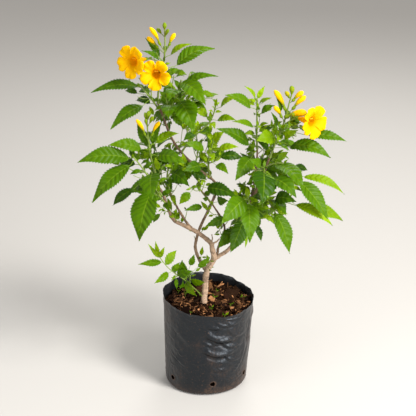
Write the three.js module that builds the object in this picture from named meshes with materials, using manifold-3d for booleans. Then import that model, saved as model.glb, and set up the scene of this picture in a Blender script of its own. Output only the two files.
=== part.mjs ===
// A potted yellow bells shrub, built together with its black nursery bag.
//
// Millimetres, +Z up. The origin is the middle of the bag's flat underside, +X is the viewer's
// right and +Y points away from the viewer. Limbs are tapering tubes along smooth routes. Each mass
// of foliage is one solid: twigs that branch by a seeded rule from one stem, with opposite pairs of
// leaves whose stalks are sunk in the twigs.

import * as THREE from 'three';
import { mergeVertices } from 'three/addons/utils/BufferGeometryUtils.js';
import Module from 'manifold-3d';

const wasm = await Module();
wasm.setup();

// Driving dimensions

const GAP = 0.3; // air between two solids that meet
const SAME_PLACE = 0.001; // corners nearer than this are one
const SLACK = 0.04; // how far an outline may shift when slivers are cleaned away

const BAG = {
  rim: 147, // height of the rim's middle
  baseRadius: 65.5,
  rimRadius: 72,
  rimShift: 5, // the open end stands this far to the right of the base
  wall: 1.1,
  corner: 6, // rounding between wall and underside
  sides: 30,
  holeRadius: 3.4,
  // drain holes: degrees to the right of the front, and height
  holes: [[10, 21], [65, 21], [125, 19], [-150, 20], [-88, 12], [-51, 20]],
};

const SOIL = {
  level: 130, // height of the flat spot that the trunk stands on
  levels: [70, 127], // heights of the facets' edges on the wall, the last at the soil's rim
  gap: 0.5, // air between the soil and the film
  flatRadius: 11,
  bump: 2.2,
};

const LEAF = {
  thickShare: 0.02, // rib thickness for each unit of length
  thinnest: 1,
  fold: 0.13, // how far the edges rise above the rib, for each unit of width
  arch: 0.07, // how far the rib bows up, for each unit of length
  fuller: 1.12, // how far the facets' corners stand outside the smooth outline
  ratio: 0.42, // width for each unit of length, on leaves placed by the rule
  stalk: 0.2, // length of the stalk for each unit of blade, on leaves placed by the rule
  stalkRadius: 0.6,
  large: 46, // a blade longer than this has two levels across it
  small: 40, // a blade shorter than this is flat on top and tapers straight from its stalk
};

const FLOWER = { radius: 24, throat: 7.5, tube: 2, length: 38, skin: 1.4, notch: 0.8, petals: 5 };

const TWIG = { radius: 1.8, tip: 1.3, sides: 3, steps: 3 };

// The rule that places twigs and leaves

const RULE = {
  firstTwig: 0.15, // shares of the stem between which its side twigs start
  lastTwig: 0.9,
  goldenTurn: 137.5, // degrees between one side twig and the next
  twigSpread: 52, // degrees between a side twig and the stem
  twigLift: 0.2, // how far a twig's tip turns up, for each unit of its length
  leafSpread: 62, // degrees between a leaf and its twig
  leafDroop: 0.35,
  youngest: 0.5, // size of the leaves at a tip, against those at the foot
  clearance: 4.5, // least distance from the foliage of other masses
  ownClearance: 3.5, // least distance from the leaves of its own mass
  limbClearance: 3.5,
};

// Leaves turn their upper sides away from this point inside the crown, and towards the light.
const CROWN_CORE = new THREE.Vector3(0, 90, 335);
const LIGHT = new THREE.Vector3(0, -0.5, 0.5);

// Gaps where the sky shows through the crown, seen from the front and 22 degrees above: x and z
// where the sight line crosses the plane of the trunk, and the radius.
const SIGHT_SLOPE = Math.tan(THREE.MathUtils.degToRad(22));
const SKY_GAPS = [
  [-129, 460, 14], [-156, 438, 21], [-139, 415, 12], [-132, 346, 9], [-128, 282, 18], [-70, 271, 14],
  [-39, 240, 30], [-11, 274, 12], [0, 247, 9], [29, 335, 8], [41, 369, 9], [25, 412, 8], [52, 454, 10],
  [37, 490, 18], [94, 259, 8], [109, 232, 15], [78, 213, 18], [155, 240, 24], [211, 364, 24],
];

// Limbs: the route of the middle line, and the radius at the foot and at the tip. Each limb is cut
// clear of the ones before it in this list.
const LIMBS = [
  {
    name: 'trunk', foot: 5.2, tip: 4.3, flare: 2.2, sides: 9, steps: 10,
    route: [[-2, 0, 130.3], [-2, 0, 140], [0, 0, 156], [1, 0, 177], [4, 0, 190], [10, 1, 201], [15, 2, 211]],
  },
  {
    name: 'left_bough', foot: 4.2, tip: 1.7, sides: 7, steps: 14,
    route: [[14.5, 2, 209], [11, 0, 225], [8, -1, 236], [-10, -5, 254], [-34, -11, 270], [-48, -14, 280],
      [-56, -17, 299], [-64, -20, 325], [-71, -21, 338]],
  },
  {
    name: 'right_bough', foot: 3.2, tip: 1.6, sides: 7, steps: 12,
    route: [[12, 1, 205], [22, 1, 213], [34, 0, 222], [45, 0, 236], [54, 2, 261], [61, 4, 282], [72, 6, 305],
      [81, 7, 327], [90, 8, 351], [98, 8, 374]],
  },
  {
    name: 'left_stem', foot: 2.5, tip: 2, sides: 6, steps: 10,
    route: [[3, 0, 184], [-3, 2, 193], [-10, 6, 205], [-15, 9, 219], [-15, 9, 232], [-9, 9, 255], [6, 9, 290]],
  },
  {
    name: 'leader', foot: 2, tip: 1.5, sides: 6, steps: 14,
    route: [[6.2, 9, 290.5], [18, 12, 319], [14, 12, 333], [-8, 10, 352], [-35, 6, 381], [-51, 4, 407],
      [-64, 2, 444], [-70, 1, 461]],
  },
  {
    name: 'middle_stem', foot: 2.1, tip: 1.2, sides: 6, steps: 10,
    route: [[15, 2, 207], [19, 3, 217], [20, 1, 226], [25, -3, 243], [30, -7, 262], [24, -9, 281],
      [11, -11, 304], [-6, -15, 328]],
  },
  {
    name: 'left_side_bough', foot: 2, tip: 1.3, sides: 6, steps: 6,
    route: [[-22, -8, 264], [-31, -6, 276], [-45, 0, 299], [-55, 6, 321]],
  },
  {
    name: 'right_inner_bough', foot: 1.8, tip: 1.3, sides: 6, steps: 8,
    route: [[60, 4, 280], [69, 10, 298], [74, 14, 318], [76, 17, 342], [79, 18, 366], [79, 18, 385]],
  },
  { name: 'dead_stub', foot: 1.1, tip: 0.6, sides: 5, steps: 3, route: [[8, -1, 234], [11, -1, 242], [10, -1, 250]] },
  { name: 'short_twig', foot: 1.4, tip: 0.8, sides: 5, steps: 3, route: [[8, -1, 233], [17, -2, 238], [22, -4, 244]] },
];

// Masses of foliage. stem is the route of the mass's own stem from the limb that carries it. space
// is the middle and the reach, along X, Y and Z, of the room that the rule may fill with twigs and
// leaves of the given length, in pairs along each twig. The crown's large outer leaves have a line
// of their own: [share of the stem, tip x, y and z, length and width of the blade]. So have buds,
// and flowers: [share of the stem, x, y and z of the middle of the face, degrees that it looks to
// the right of the front, degrees that it looks up].
const SHOOTS = [
  {
    name: 'top_flower_shoot', seed: 11, twigs: 0, twigLength: 0, pairs: 4, leaf: 34,
    stem: [[-70, 1, 460], [-69, 0, 478], [-65, -2, 500], [-60, -4, 523], [-58, -5, 550], [-58, -6, 572]],
    space: [[-58, 0, 512], [46, 42, 36]],
    leaves: [[0.6, -87, 10, 557, 35, 10], [0.6, -90, -20, 546, 32, 10], [0.65, -20, -20, 556, 40, 15],
      [0.48, 13, 20, 541, 65, 23], [0.5, -22, -35, 510, 36, 15], [0.6, -41, 30, 549, 35, 13]],
    buds: [[0.72, -79, -14, 578, 32, 6], [0.7, -84, -2, 561, 22, 6], [0.9, -70, 4, 572, 10, 5],
      [1, -58, -8, 587, 11, 5.5], [0.9, -52, -14, 575, 12, 4.5], [0.7, -43, -4, 567, 20, 6]],
    flowers: [[0.6, -106, -42, 534, -38, 4], [0.54, -70, -50, 518, 8, 10]],
  },
  {
    name: 'upper_right_shoot', seed: 12, twigs: 3, twigLength: 34, pairs: 2, leaf: 42,
    stem: [[-64, 2, 438], [-52, 0, 455], [-41, -4, 476], [-35, -8, 499]],
    space: [[-22, -2, 462], [56, 58, 54]],
    leaves: [[0.95, 22, -20, 506, 56, 19], [0.95, 1, -55, 475, 63, 26], [0.85, 15, 15, 466, 46, 19],
      [0.65, -17, -50, 434, 54, 26], [0.6, 9, -30, 448, 35, 17], [0.8, -52, -55, 482, 44, 22],
      [0.5, -52, -64, 457, 46, 25]],
  },
  {
    name: 'upper_left_shoot', seed: 13, twigs: 2, twigLength: 30, pairs: 2, leaf: 42,
    stem: [[-69, 1, 452], [-78, -6, 468], [-87, -10, 481], [-95, -12, 492]],
    space: [[-100, 0, 466], [58, 44, 34]],
    leaves: [[0.95, -166, -24, 484, 71, 25], [0.5, -121, 24, 470, 41, 17], [0.35, -138, -40, 434, 62, 27],
      [0.15, -106, 40, 454, 45, 20]],
  },
  {
    name: 'left_flower_shoot', seed: 14, twigs: 2, twigLength: 30, pairs: 3, leaf: 38,
    stem: [[-71, -21, 338], [-72, -22, 351], [-78, -24, 373], [-82, -26, 397], [-84, -27, 421], [-85, -28, 440]],
    space: [[-84, -24, 396], [56, 44, 40]],
    leaves: [[0.65, -142, -40, 413, 52, 19], [0.65, -39, -10, 418, 38, 17], [0.55, -29, -58, 387, 54, 22],
      [0.6, -101, -8, 437, 41, 13], [0.6, -65, -8, 435, 36, 13]],
    buds: [[0.78, -100, -38, 448, 29, 7], [0.76, -67, -36, 443, 24, 7], [1, -85, -28, 457, 13, 6],
      [0.92, -92, -20, 447, 12, 5], [0.92, -77, -38, 449, 12, 5]],
  },
  {
    name: 'left_outer_shoot', seed: 15, twigs: 3, twigLength: 34, pairs: 2, leaf: 44,
    stem: [[-65, -20, 322], [-81, -28, 350], [-95, -33, 372], [-105, -36, 383]],
    space: [[-118, -22, 362], [66, 54, 40]],
    leaves: [[0.95, -187, -50, 386, 76, 30], [0.7, -167, -60, 328, 78, 30], [0.4, -142, -8, 301, 62, 22],
      [0.7, -131, 10, 365, 44, 17]],
  },
  {
    name: 'left_low_shoot', seed: 16, twigs: 1, twigLength: 30, pairs: 2, leaf: 38,
    stem: [[-58, -18, 306], [-66, -34, 324], [-75, -50, 350], [-78, -60, 375]],
    space: [[-84, -52, 326], [40, 54, 52]],
    leaves: [[0.95, -76, -106, 350, 54, 34], [0.72, -98, -88, 277, 76, 40], [0.45, -54, -78, 343, 38, 19]],
  },
  {
    name: 'left_inner_shoot', seed: 17, twigs: 2, twigLength: 28, pairs: 2, leaf: 34,
    stem: [[-54.5, 6, 320], [-58, 7, 338], [-56, 5, 358], [-52, 3, 372]],
    space: [[-50, 4, 346], [40, 42, 42]],
    leaves: [[0.75, -24, -35, 342, 48, 24], [0.2, -43, -22, 310, 26, 13], [0.55, -89, 35, 330, 38, 18]],
  },
  {
    name: 'centre_shoot', seed: 18, twigs: 2, twigLength: 26, pairs: 3, leaf: 30,
    stem: [[6, 11, 343], [5, 5, 362], [6, 0, 378], [10, -4, 394], [12, -6, 407]],
    space: [[9, -4, 380], [40, 44, 46]],
    leaves: [[0.85, 25, -12, 422, 24, 10], [0.6, -31, -20, 406, 37, 16], [0.65, 50, -22, 400, 35, 16],
      [0.4, 34, -38, 362, 38, 20], [0.5, -30, -44, 364, 42, 22], [0.3, 6, -44, 348, 36, 17]],
  },
  {
    name: 'centre_top_shoot', seed: 19, twigs: 2, twigLength: 26, pairs: 3, leaf: 30,
    stem: [[-36, 6, 382], [-23, 8, 400], [-8, 8, 415], [6, 6, 429], [13, 4, 445], [16, 2, 459]],
    space: [[4, 6, 430], [48, 44, 42]],
    leaves: [[0.85, 45, -16, 473, 36, 15], [0.65, 47, -12, 440, 35, 16], [0.4, 9, -28, 423, 35, 17],
      [0.4, -32, -30, 412, 36, 17], [0.65, -23, 30, 445, 32, 18]],
  },
  {
    name: 'middle_shoot', seed: 20, twigs: 1, twigLength: 20, pairs: 2, leaf: 24,
    stem: [[-5.5, -15, 327], [-9, -17, 337], [-9, -20, 350]],
    space: [[4, -28, 326], [44, 36, 32]],
    leaves: [[0.7, -38, -42, 315, 27, 16], [0.3, -30, -36, 300, 32, 15], [0.5, 47, -52, 333, 54, 22],
      [0.15, 30, -44, 316, 34, 16]],
  },
  {
    name: 'centre_right_shoot', seed: 21, twigs: 3, twigLength: 32, pairs: 3, leaf: 38,
    stem: [[79, 18, 384], [78, 17, 406], [78, 15, 430], [77, 14, 462]],
    space: [[72, 10, 424], [54, 50, 52]],
    leaves: [[1, 59, 6, 486, 27, 9], [1, 89, 20, 482, 22, 9], [0.85, 29, -4, 476, 54, 20],
      [0.75, 103, 0, 458, 29, 13], [0.5, 41, -12, 437, 43, 17], [0.1, 16, -16, 428, 70, 25],
      [0.1, 46, -36, 353, 58, 28]],
  },
  {
    name: 'right_flower_shoot', seed: 22, twigs: 3, twigLength: 34, pairs: 3, leaf: 40,
    stem: [[98, 8, 373], [105, 7, 394], [112, 6, 413], [119, 5, 434], [124, 4, 457], [128, 3, 474]],
    space: [[128, 6, 410], [56, 50, 42]],
    leaves: [[0.45, 212, -8, 405, 62, 19], [0.25, 187, -20, 384, 63, 22], [0.4, 78, -24, 410, 39, 20],
      [0.45, 150, 42, 446, 47, 17]],
    buds: [[0.8, 102, 4, 480, 32, 7], [0.9, 119, -4, 479, 14, 5.5], [1, 128, 3, 488, 13, 6.5],
      [0.86, 144, 0, 480, 22, 7.5], [0.84, 151, 12, 468, 22, 8], [0.7, 103, 16, 452, 22, 7],
      [0.66, 151, 0, 449, 34, 9]],
    flowers: [[0.6, 163, -27, 441, 44, 2]],
  },
  {
    name: 'right_outer_shoot', seed: 23, twigs: 3, twigLength: 36, pairs: 2, leaf: 44,
    stem: [[93, 8, 359], [106, 2, 366], [120, -6, 368], [134, -12, 360]],
    space: [[140, -8, 348], [62, 58, 46]],
    leaves: [[0.35, 145, -56, 345, 62, 28], [0.95, 210, -20, 326, 72, 21], [0.9, 183, -45, 294, 68, 29],
      [0.6, 177, 32, 348, 58, 22]],
  },
  {
    name: 'right_low_shoot', seed: 24, twigs: 3, twigLength: 34, pairs: 2, leaf: 40,
    stem: [[74, 6, 311], [90, -4, 309], [106, -12, 304], [120, -18, 302]],
    space: [[122, -12, 298], [66, 50, 46]],
    leaves: [[1, 193, -36, 277, 68, 26], [0.3, 135, -50, 324, 42, 21], [0.55, 130, -36, 233, 66, 29],
      [0.75, 207, 12, 268, 76, 24], [0.6, 122, -52, 298, 40, 18]],
  },
  {
    name: 'right_front_shoot', seed: 25, twigs: 2, twigLength: 26, pairs: 2, leaf: 34,
    stem: [[88, 8, 345], [87, -8, 354], [88, -22, 367]],
    space: [[88, -40, 360], [42, 40, 40]],
    leaves: [[0.95, 84, -76, 331, 58, 32], [0.95, 60, -36, 400, 42, 20], [0.8, 116, -66, 340, 50, 22]],
  },
  {
    name: 'lower_centre_shoot', seed: 26, twigs: 2, twigLength: 28, pairs: 2, leaf: 34,
    stem: [[62, 4, 284], [67, -10, 300], [66, -24, 315], [63, -36, 329]],
    space: [[56, -34, 292], [46, 46, 46]],
    leaves: [[0.95, 26, -80, 301, 60, 29], [0.8, 67, -78, 271, 64, 34], [0.2, 39, -48, 240, 56, 28],
      [0.1, 23, -34, 241, 40, 20], [0.3, 88, -20, 245, 46, 20], [0.4, 1, -40, 280, 32, 16]],
  },
  {
    name: 'basal_shoot', seed: 27, twigs: 2, twigLength: 20, pairs: 4, leaf: 20,
    stem: [[-2, -1, 139], [-14, -10, 158], [-27, -20, 176], [-36, -24, 186], [-48, -28, 197], [-60, -32, 211],
      [-71, -35, 229]],
    space: [[-44, -26, 204], [50, 34, 46]],
    leaves: [[0.85, -102, -46, 220, 37, 13], [0.75, -76, -58, 191, 33, 16], [0.97, -87, -38, 249, 25, 9],
      [1, -60, -30, 243, 17, 9], [0.85, -42, -12, 230, 29, 12], [0.65, -17, -38, 212, 33, 16],
      [0.35, -40, 0, 206, 26, 13], [0.4, 1, -40, 186, 30, 17], [0.4, -14, -46, 165, 30, 17],
      [0.4, -40, -46, 175, 22, 12]],
  },
  {
    name: 'back_top_shoot', seed: 31, twigs: 6, twigLength: 42, pairs: 3, leaf: 54,
    stem: [[-66, 2, 448], [-60, 26, 446], [-50, 52, 444], [-40, 78, 450]],
    space: [[-40, 66, 440], [62, 72, 54]],
  },
  {
    name: 'back_middle_shoot', seed: 32, twigs: 6, twigLength: 42, pairs: 3, leaf: 54,
    stem: [[-15, 9, 359], [-15, 34, 356], [-13, 60, 356], [-10, 88, 362]],
    space: [[-16, 74, 354], [58, 74, 58]],
  },
  {
    name: 'back_left_shoot', seed: 33, twigs: 6, twigLength: 42, pairs: 3, leaf: 54,
    stem: [[-46, 0, 300], [-54, 20, 306], [-66, 42, 318], [-80, 66, 334], [-90, 88, 350]],
    space: [[-88, 64, 342], [66, 72, 58]],
  },
  {
    name: 'back_right_shoot', seed: 34, twigs: 6, twigLength: 42, pairs: 3, leaf: 54,
    stem: [[76, 17, 340], [80, 38, 344], [88, 62, 350], [98, 86, 360]],
    space: [[96, 72, 356], [64, 72, 62]],
  },
  {
    name: 'back_low_shoot', seed: 35, twigs: 6, twigLength: 38, pairs: 3, leaf: 50,
    stem: [[62, 4, 286], [64, 24, 278], [70, 48, 275], [78, 72, 278]],
    space: [[74, 58, 272], [64, 66, 46]],
  },
];

// Colours

const COLOURS = {
  film: { color: 0x26282b, roughness: 0.42, metalness: 0 },
  soil: { color: 0x3a2418, roughness: 0.95, metalness: 0 },
  bark: { color: 0xb49a7e, roughness: 0.85, metalness: 0 },
  leaf: { color: 0x4f8a1e, roughness: 0.5, metalness: 0 },
};

// Small helpers

const UP = new THREE.Vector3(0, 0, 1);

function point([x, y, z]) {
  return new THREE.Vector3(x, y, z);
}

function mix(from, to, share) {
  return from + (to - from) * share;
}

// A repeatable stream of numbers from 0 to 1.
function seededDraws(seed) {
  let state = seed >>> 0;
  return () => {
    state = (state + 0x6d2b79f5) >>> 0;
    let mixed = Math.imul(state ^ (state >>> 15), state | 1);
    mixed ^= mixed + Math.imul(mixed ^ (mixed >>> 7), mixed | 61);
    return ((mixed ^ (mixed >>> 14)) >>> 0) / 4294967296;
  };
}

// A smooth curve through a few points.
function smoothRoute(points) {
  return new THREE.CatmullRomCurve3(points.map(point), false, 'catmullrom', 0.5);
}

// Direction of a curve, from two places a small step apart.
function heading(curve, share) {
  const step = 0.001;
  const ahead = curve.getPoint(Math.min(share + step, 1));
  return ahead.sub(curve.getPoint(Math.max(share - step, 0))).normalize();
}

// The part of a vector that lies square to a direction, at length 1.
function square(vector, direction) {
  return vector.clone().addScaledVector(direction, -vector.dot(direction)).normalize();
}

// Shapes as closed meshes

// Moves every corner of a geometry to where place(x, y, z) says.
function reshape(geometry, place) {
  const corners = geometry.attributes.position;
  for (let i = 0; i < corners.count; i += 1) {
    const moved = place(corners.getX(i), corners.getY(i), corners.getZ(i));
    corners.setXYZ(i, moved.x, moved.y, moved.z);
  }
  return geometry;
}

// A closed round bar of unit radius is bent along a curve, with its radius set level by level.
function tube(curve, radiusAt, sides, steps, pointed = false) {
  const levels = [];
  let side = null;
  for (let i = 0; i <= steps; i += 1) {
    const along = heading(curve, i / steps);
    const leaning = Math.abs(along.y) < 0.8 ? new THREE.Vector3(0, 1, 0) : new THREE.Vector3(1, 0, 0);
    side = square(side ?? leaning.cross(along), along);
    levels.push({ at: curve.getPoint(i / steps), side, front: side.clone().cross(along) });
  }
  const bar = new THREE.CylinderGeometry(pointed ? 0 : 1, 1, 1, sides, steps);
  return reshape(bar, (x, y, z) => {
    const share = y + 0.5;
    const { at, side: across, front } = levels[Math.round(share * steps)];
    const taper = pointed ? Math.max(1 - share, 0.001) : 1;
    const radius = radiusAt(share) / taper;
    return at.clone().addScaledVector(across, x * radius).addScaledVector(front, z * radius);
  });
}

// Half the width of a blade at a share of its length, for a blade of half width 1.
function bladeShape(share) {
  return Math.sin(Math.PI * share ** 0.75) ** 0.85;
}

// A leaf: where it roots, where its blade starts and ends, and the way its upper side faces.
function makeLeaf(root, tip, blade, wide) {
  const chord = tip.clone().sub(root);
  const along = chord.clone().normalize();
  const base = tip.clone().addScaledVector(along, -Math.min(blade, chord.length()));
  const outward = tip.clone().add(base).multiplyScalar(0.5).sub(CROWN_CORE).normalize();
  const facing = square(outward.add(LIGHT), along);
  const side = along.clone().cross(facing);
  return { root, base, tip, along, facing, side, blade: tip.distanceTo(base), wide };
}

// A place on a leaf: share of the blade's length, and share of its half width to one side.
function onLeaf(leaf, share, across) {
  const half = 0.5 * leaf.wide * bladeShape(share);
  const rise = leaf.blade * LEAF.arch * 4 * share * (1 - share) + Math.abs(across) * half * 2 * LEAF.fold;
  return leaf.base.clone()
    .addScaledVector(leaf.along, leaf.blade * share)
    .addScaledVector(leaf.side, half * across)
    .addScaledVector(leaf.facing, rise);
}

// The solid of a leaf: a four-cornered bar with two thin edges and a rib above and below. Its
// levels are the stalk's foot, the blade's base on all but the smallest, one or two across the
// blade, and the tip. The smallest have three corners, with no rib above.
function leafShape(leaf) {
  const thick = Math.max(LEAF.thinnest, leaf.blade * LEAF.thickShare);
  const shares = leaf.blade > LEAF.large ? [0.3, 0.7] : [0.42];
  const stalk = leaf.blade > LEAF.small ? [leaf.root, leaf.base] : [leaf.root];
  const corners = leaf.blade > LEAF.small ? 4 : 3;
  const steps = stalk.length + shares.length;
  const bar = new THREE.CylinderGeometry(0, 1, 1, corners, steps, false, corners === 3 ? Math.PI / 3 : 0);
  return reshape(bar, (x, y, z) => {
    const level = Math.round((y + 0.5) * steps);
    if (level === steps) {
      return leaf.tip.clone();
    }
    const across = Math.abs(x) < 1e-6 ? 0 : Math.sign(x);
    const rib = across !== 0 || Math.abs(z) < 1e-6 ? 0 : Math.sign(z);
    if (level < stalk.length) {
      return stalk[level].clone()
        .addScaledVector(leaf.side, across * LEAF.stalkRadius)
        .addScaledVector(leaf.facing, rib * LEAF.stalkRadius);
    }
    return onLeaf(leaf, shares[level - stalk.length], across * LEAF.fuller).addScaledVector(leaf.facing, 0.5 * rib * thick);
  });
}

// A bud: a thin stalk that swells to a blunt point.
function budShape(root, tip, length, wide) {
  const curve = new THREE.LineCurve3(root, tip);
  const swelling = 1 - length / root.distanceTo(tip);
  const radiusAt = (share) => (share < swelling ? LEAF.stalkRadius : 0.5 * wide);
  return tube(curve, radiusAt, 4, 3, true);
}

// The way a flower looks, from its two angles in degrees.
function flowerAim(right, up) {
  const [turn, rise] = [THREE.MathUtils.degToRad(right), THREE.MathUtils.degToRad(up)];
  return new THREE.Vector3(Math.sin(turn) * Math.cos(rise), -Math.cos(turn) * Math.cos(rise), Math.sin(rise));
}

// The thin stalk that carries a flower, sunk a little way into its tube.
function flowerStalk({ root, start, along }) {
  const end = start.clone().addScaledVector(along, FLOWER.tube);
  return tube(new THREE.LineCurve3(root, end), () => LEAF.stalkRadius * 1.2, TWIG.sides, 1);
}

// A trumpet flower: a narrow tube that widens to the throat and opens into five petals.
function flowerShape({ start, along }) {
  const outline = [
    [0, 0], [FLOWER.tube, 0],
    [FLOWER.throat * 0.75, FLOWER.length * 0.45], [FLOWER.throat, FLOWER.length * 0.8],
    [FLOWER.radius, FLOWER.length], [FLOWER.radius * 0.96, FLOWER.length + FLOWER.skin],
    [FLOWER.throat * 0.9, FLOWER.length * 0.9], [0, FLOWER.length * 0.4],
  ];
  const body = new THREE.LatheGeometry(outline.map(([r, h]) => new THREE.Vector2(r, h)), 2 * FLOWER.petals);
  const side = square(UP, along);
  const front = side.clone().cross(along);
  return reshape(body, (x, y, z) => {
    const radius = Math.hypot(x, z);
    const turn = Math.round(Math.atan2(z, x) / (Math.PI / FLOWER.petals));
    const lobe = radius > FLOWER.radius * 0.5 && turn % 2 === 0 ? FLOWER.notch : 1;
    return start.clone().addScaledVector(along, y)
      .addScaledVector(side, x * lobe)
      .addScaledVector(front, z * lobe);
  });
}

// Solids, joined and cut

// A mesh with shared corners merged, its flat triangles dropped and its faces turned out.
function solid(geometry) {
  const bare = geometry.index ? geometry : mergeVertices(geometry);
  bare.deleteAttribute('normal');
  bare.deleteAttribute('uv');
  const merged = mergeVertices(bare, SAME_PLACE);
  const index = merged.index.array;
  const kept = [];
  for (let i = 0; i < index.length; i += 3) {
    const [a, b, c] = [index[i], index[i + 1], index[i + 2]];
    if (a !== b && b !== c && c !== a) {
      kept.push(a, b, c);
    }
  }
  const vertProperties = new Float32Array(merged.attributes.position.array);
  const build = (triVerts) => new wasm.Manifold(new wasm.Mesh({ numProp: 3, vertProperties, triVerts }));
  const body = build(new Uint32Array(kept));
  if (body.volume() > 0) {
    return body;
  }
  return build(new Uint32Array(kept).map((_, i, all) => all[i - (i % 3) + (2 - (i % 3))]));
}

// The largest connected piece: loose scraps and sealed hollows are left out.
function largest(body) {
  const pieces = body.decompose();
  pieces.sort((a, b) => b.volume() - a.volume());
  return pieces[0];
}

function meet(a, b) {
  const boxA = a.boundingBox();
  const boxB = b.boundingBox();
  return [0, 1, 2].every((axis) => boxA.min[axis] <= boxB.max[axis] && boxB.min[axis] <= boxA.max[axis]);
}

function cutClear(body, others) {
  return others.filter((other) => meet(body, other)).reduce((left, other) => left.subtract(other), body);
}

function geometryOf(body) {
  const { vertProperties, triVerts } = body.getMesh();
  const geometry = new THREE.BufferGeometry();
  geometry.setAttribute('position', new THREE.BufferAttribute(new Float32Array(vertProperties), 3));
  geometry.setIndex(new THREE.BufferAttribute(new Uint32Array(triVerts), 1));
  return geometry;
}

function meshOf(body, name, look) {
  const geometry = geometryOf(body);
  geometry.computeVertexNormals();
  const mesh = new THREE.Mesh(geometry, new THREE.MeshStandardMaterial(look));
  mesh.name = name;
  return mesh;
}

// The bag and its soil

// How far the film stands out of a true cone: a few long soft folds.
function bagFold(angle, height) {
  const lift = height / BAG.rim;
  return 0.9 * Math.cos(3 * angle + 0.6 + lift) + 0.6 * Math.cos(5 * angle - 1.5 * lift) * lift
    + 0.5 * Math.cos(2 * angle + 2.5);
}

// How far the torn, uneven rim stands above or below its middle height.
function rimRise(angle) {
  return 3 * Math.sin(angle) - 4 * Math.cos(angle) + 0.9 * Math.cos(3 * angle + 1) + 0.6 * Math.sin(7 * angle);
}

// Turns a lathed body upright and gives it the bag's lean, folds and uneven rim.
function dressBag(geometry, soilTop) {
  return reshape(geometry, (x, y, z) => {
    const radius = Math.hypot(x, z);
    const angle = Math.atan2(-z, x);
    const share = Math.min(1, radius / BAG.baseRadius);
    const out = radius + bagFold(angle, y) * share;
    const edge = THREE.MathUtils.smoothstep(y, SOIL.level + 3, BAG.rim - 1);
    const bump = soilTop && y >= SOIL.level ? soilBump(x, -z) : 0;
    return new THREE.Vector3(
      out * Math.cos(angle) + BAG.rimShift * (y / BAG.rim),
      out * Math.sin(angle),
      y + rimRise(angle) * edge + bump,
    );
  });
}

function soilBump(x, y) {
  const away = Math.hypot(x + 6, y);
  const share = THREE.MathUtils.smoothstep(away, SOIL.flatRadius, SOIL.flatRadius * 2.5);
  return share * SOIL.bump * (Math.sin(x / 9 + 1) * Math.cos(y / 11) - 0.4);
}

function wallRadius(height) {
  return mix(BAG.baseRadius, BAG.rimRadius, height / BAG.rim);
}

// Outline of a round body with a rounded lower corner, inset from the bag's outer face. The bag
// and the soil share their levels, so that their facets run side by side.
function cupOutline(inset, levels) {
  const corner = BAG.corner - inset;
  const inner = wallRadius(BAG.corner) - inset;
  const points = [[0, inset]];
  for (let i = 0; i <= 2; i += 1) {
    const turn = (Math.PI / 2) * (i / 2);
    points.push([inner - corner * (1 - Math.sin(turn)), inset + corner * (1 - Math.cos(turn))]);
  }
  for (const height of levels) {
    points.push([wallRadius(height) - inset, height]);
  }
  return points;
}

function lathe(points) {
  return new THREE.LatheGeometry(points.map(([r, h]) => new THREE.Vector2(r, h)), BAG.sides);
}

function drainHole([turn, height]) {
  const peg = new THREE.CylinderGeometry(BAG.holeRadius, BAG.holeRadius, 24, 10);
  peg.translate(0, -BAG.baseRadius, 0);
  peg.rotateZ(THREE.MathUtils.degToRad(turn));
  peg.translate(0, 0, height);
  return solid(peg);
}

function bagBody() {
  const outer = cupOutline(0, [...SOIL.levels, BAG.rim]);
  const inner = cupOutline(BAG.wall, [...SOIL.levels, BAG.rim]).reverse();
  const film = solid(dressBag(lathe([...outer, ...inner]), false));
  return cutClear(film, BAG.holes.map(drainHole));
}

function soilBody() {
  const wall = cupOutline(BAG.wall + SOIL.gap, SOIL.levels);
  const top = [0.7, 0.35].map((share) => [share * (wallRadius(SOIL.level) - 2), SOIL.level]);
  return solid(dressBag(lathe([...wall, ...top, [0, SOIL.level]]), true));
}

// Limbs

function limbRadius(limb, share) {
  const flare = (limb.flare ?? 0) * Math.exp(-share * 14);
  return mix(limb.foot, limb.tip, share) + flare;
}

function limbShape(limb, spare = 0) {
  const curve = smoothRoute(limb.route);
  if (spare === 0) {
    return solid(tube(curve, (share) => limbRadius(limb, share), limb.sides, limb.steps));
  }
  const cap = solid(tube(new THREE.LineCurve3(
    curve.getPoint(1),
    curve.getPoint(1).addScaledVector(heading(curve, 1), spare),
  ), () => limb.tip + spare, limb.sides, 1));
  return solid(tube(curve, (share) => limbRadius(limb, share) + spare, limb.sides, limb.steps)).add(cap);
}

// The growing rule

const crowd = []; // places that later twigs and leaves keep clear of

function stand(owner, kind, at, room) {
  crowd.push({ owner, kind, at, room });
}

function leafPlaces(leaf) {
  const places = [];
  for (let i = 0; i < 8; i += 1) {
    for (const across of [-0.85, 0, 0.85]) {
      places.push(onLeaf(leaf, (i + 0.6) / 8, across));
    }
  }
  return places;
}

function curvePlaces(curve, from = 0) {
  const count = Math.ceil(curve.getLength() / 4);
  const places = [];
  for (let i = 0; i <= count; i += 1) {
    places.push(curve.getPoint(mix(from, 1, i / count)));
  }
  return places;
}

function inSpace(at, [middle, reach]) {
  const share = [at.x, at.y, at.z].reduce((sum, value, axis) => sum + ((value - middle[axis]) / reach[axis]) ** 2, 0);
  return share <= 1;
}

function inSkyGap(at) {
  const level = at.z + at.y * SIGHT_SLOPE;
  return SKY_GAPS.some(([x, z, radius]) => Math.hypot(at.x - x, level - z) < radius);
}

function roomNeeded(shoot, other) {
  if (other.kind === 'limb') {
    return other.room + RULE.limbClearance;
  }
  if (other.owner !== shoot.name) {
    return RULE.clearance;
  }
  return other.kind === 'leaf' ? RULE.ownClearance : 0;
}

function isClear(shoot, places) {
  return places.every((at) => inSpace(at, shoot.space) && !inSkyGap(at)
    && crowd.every((other) => at.distanceTo(other.at) >= roomNeeded(shoot, other)));
}

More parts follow.
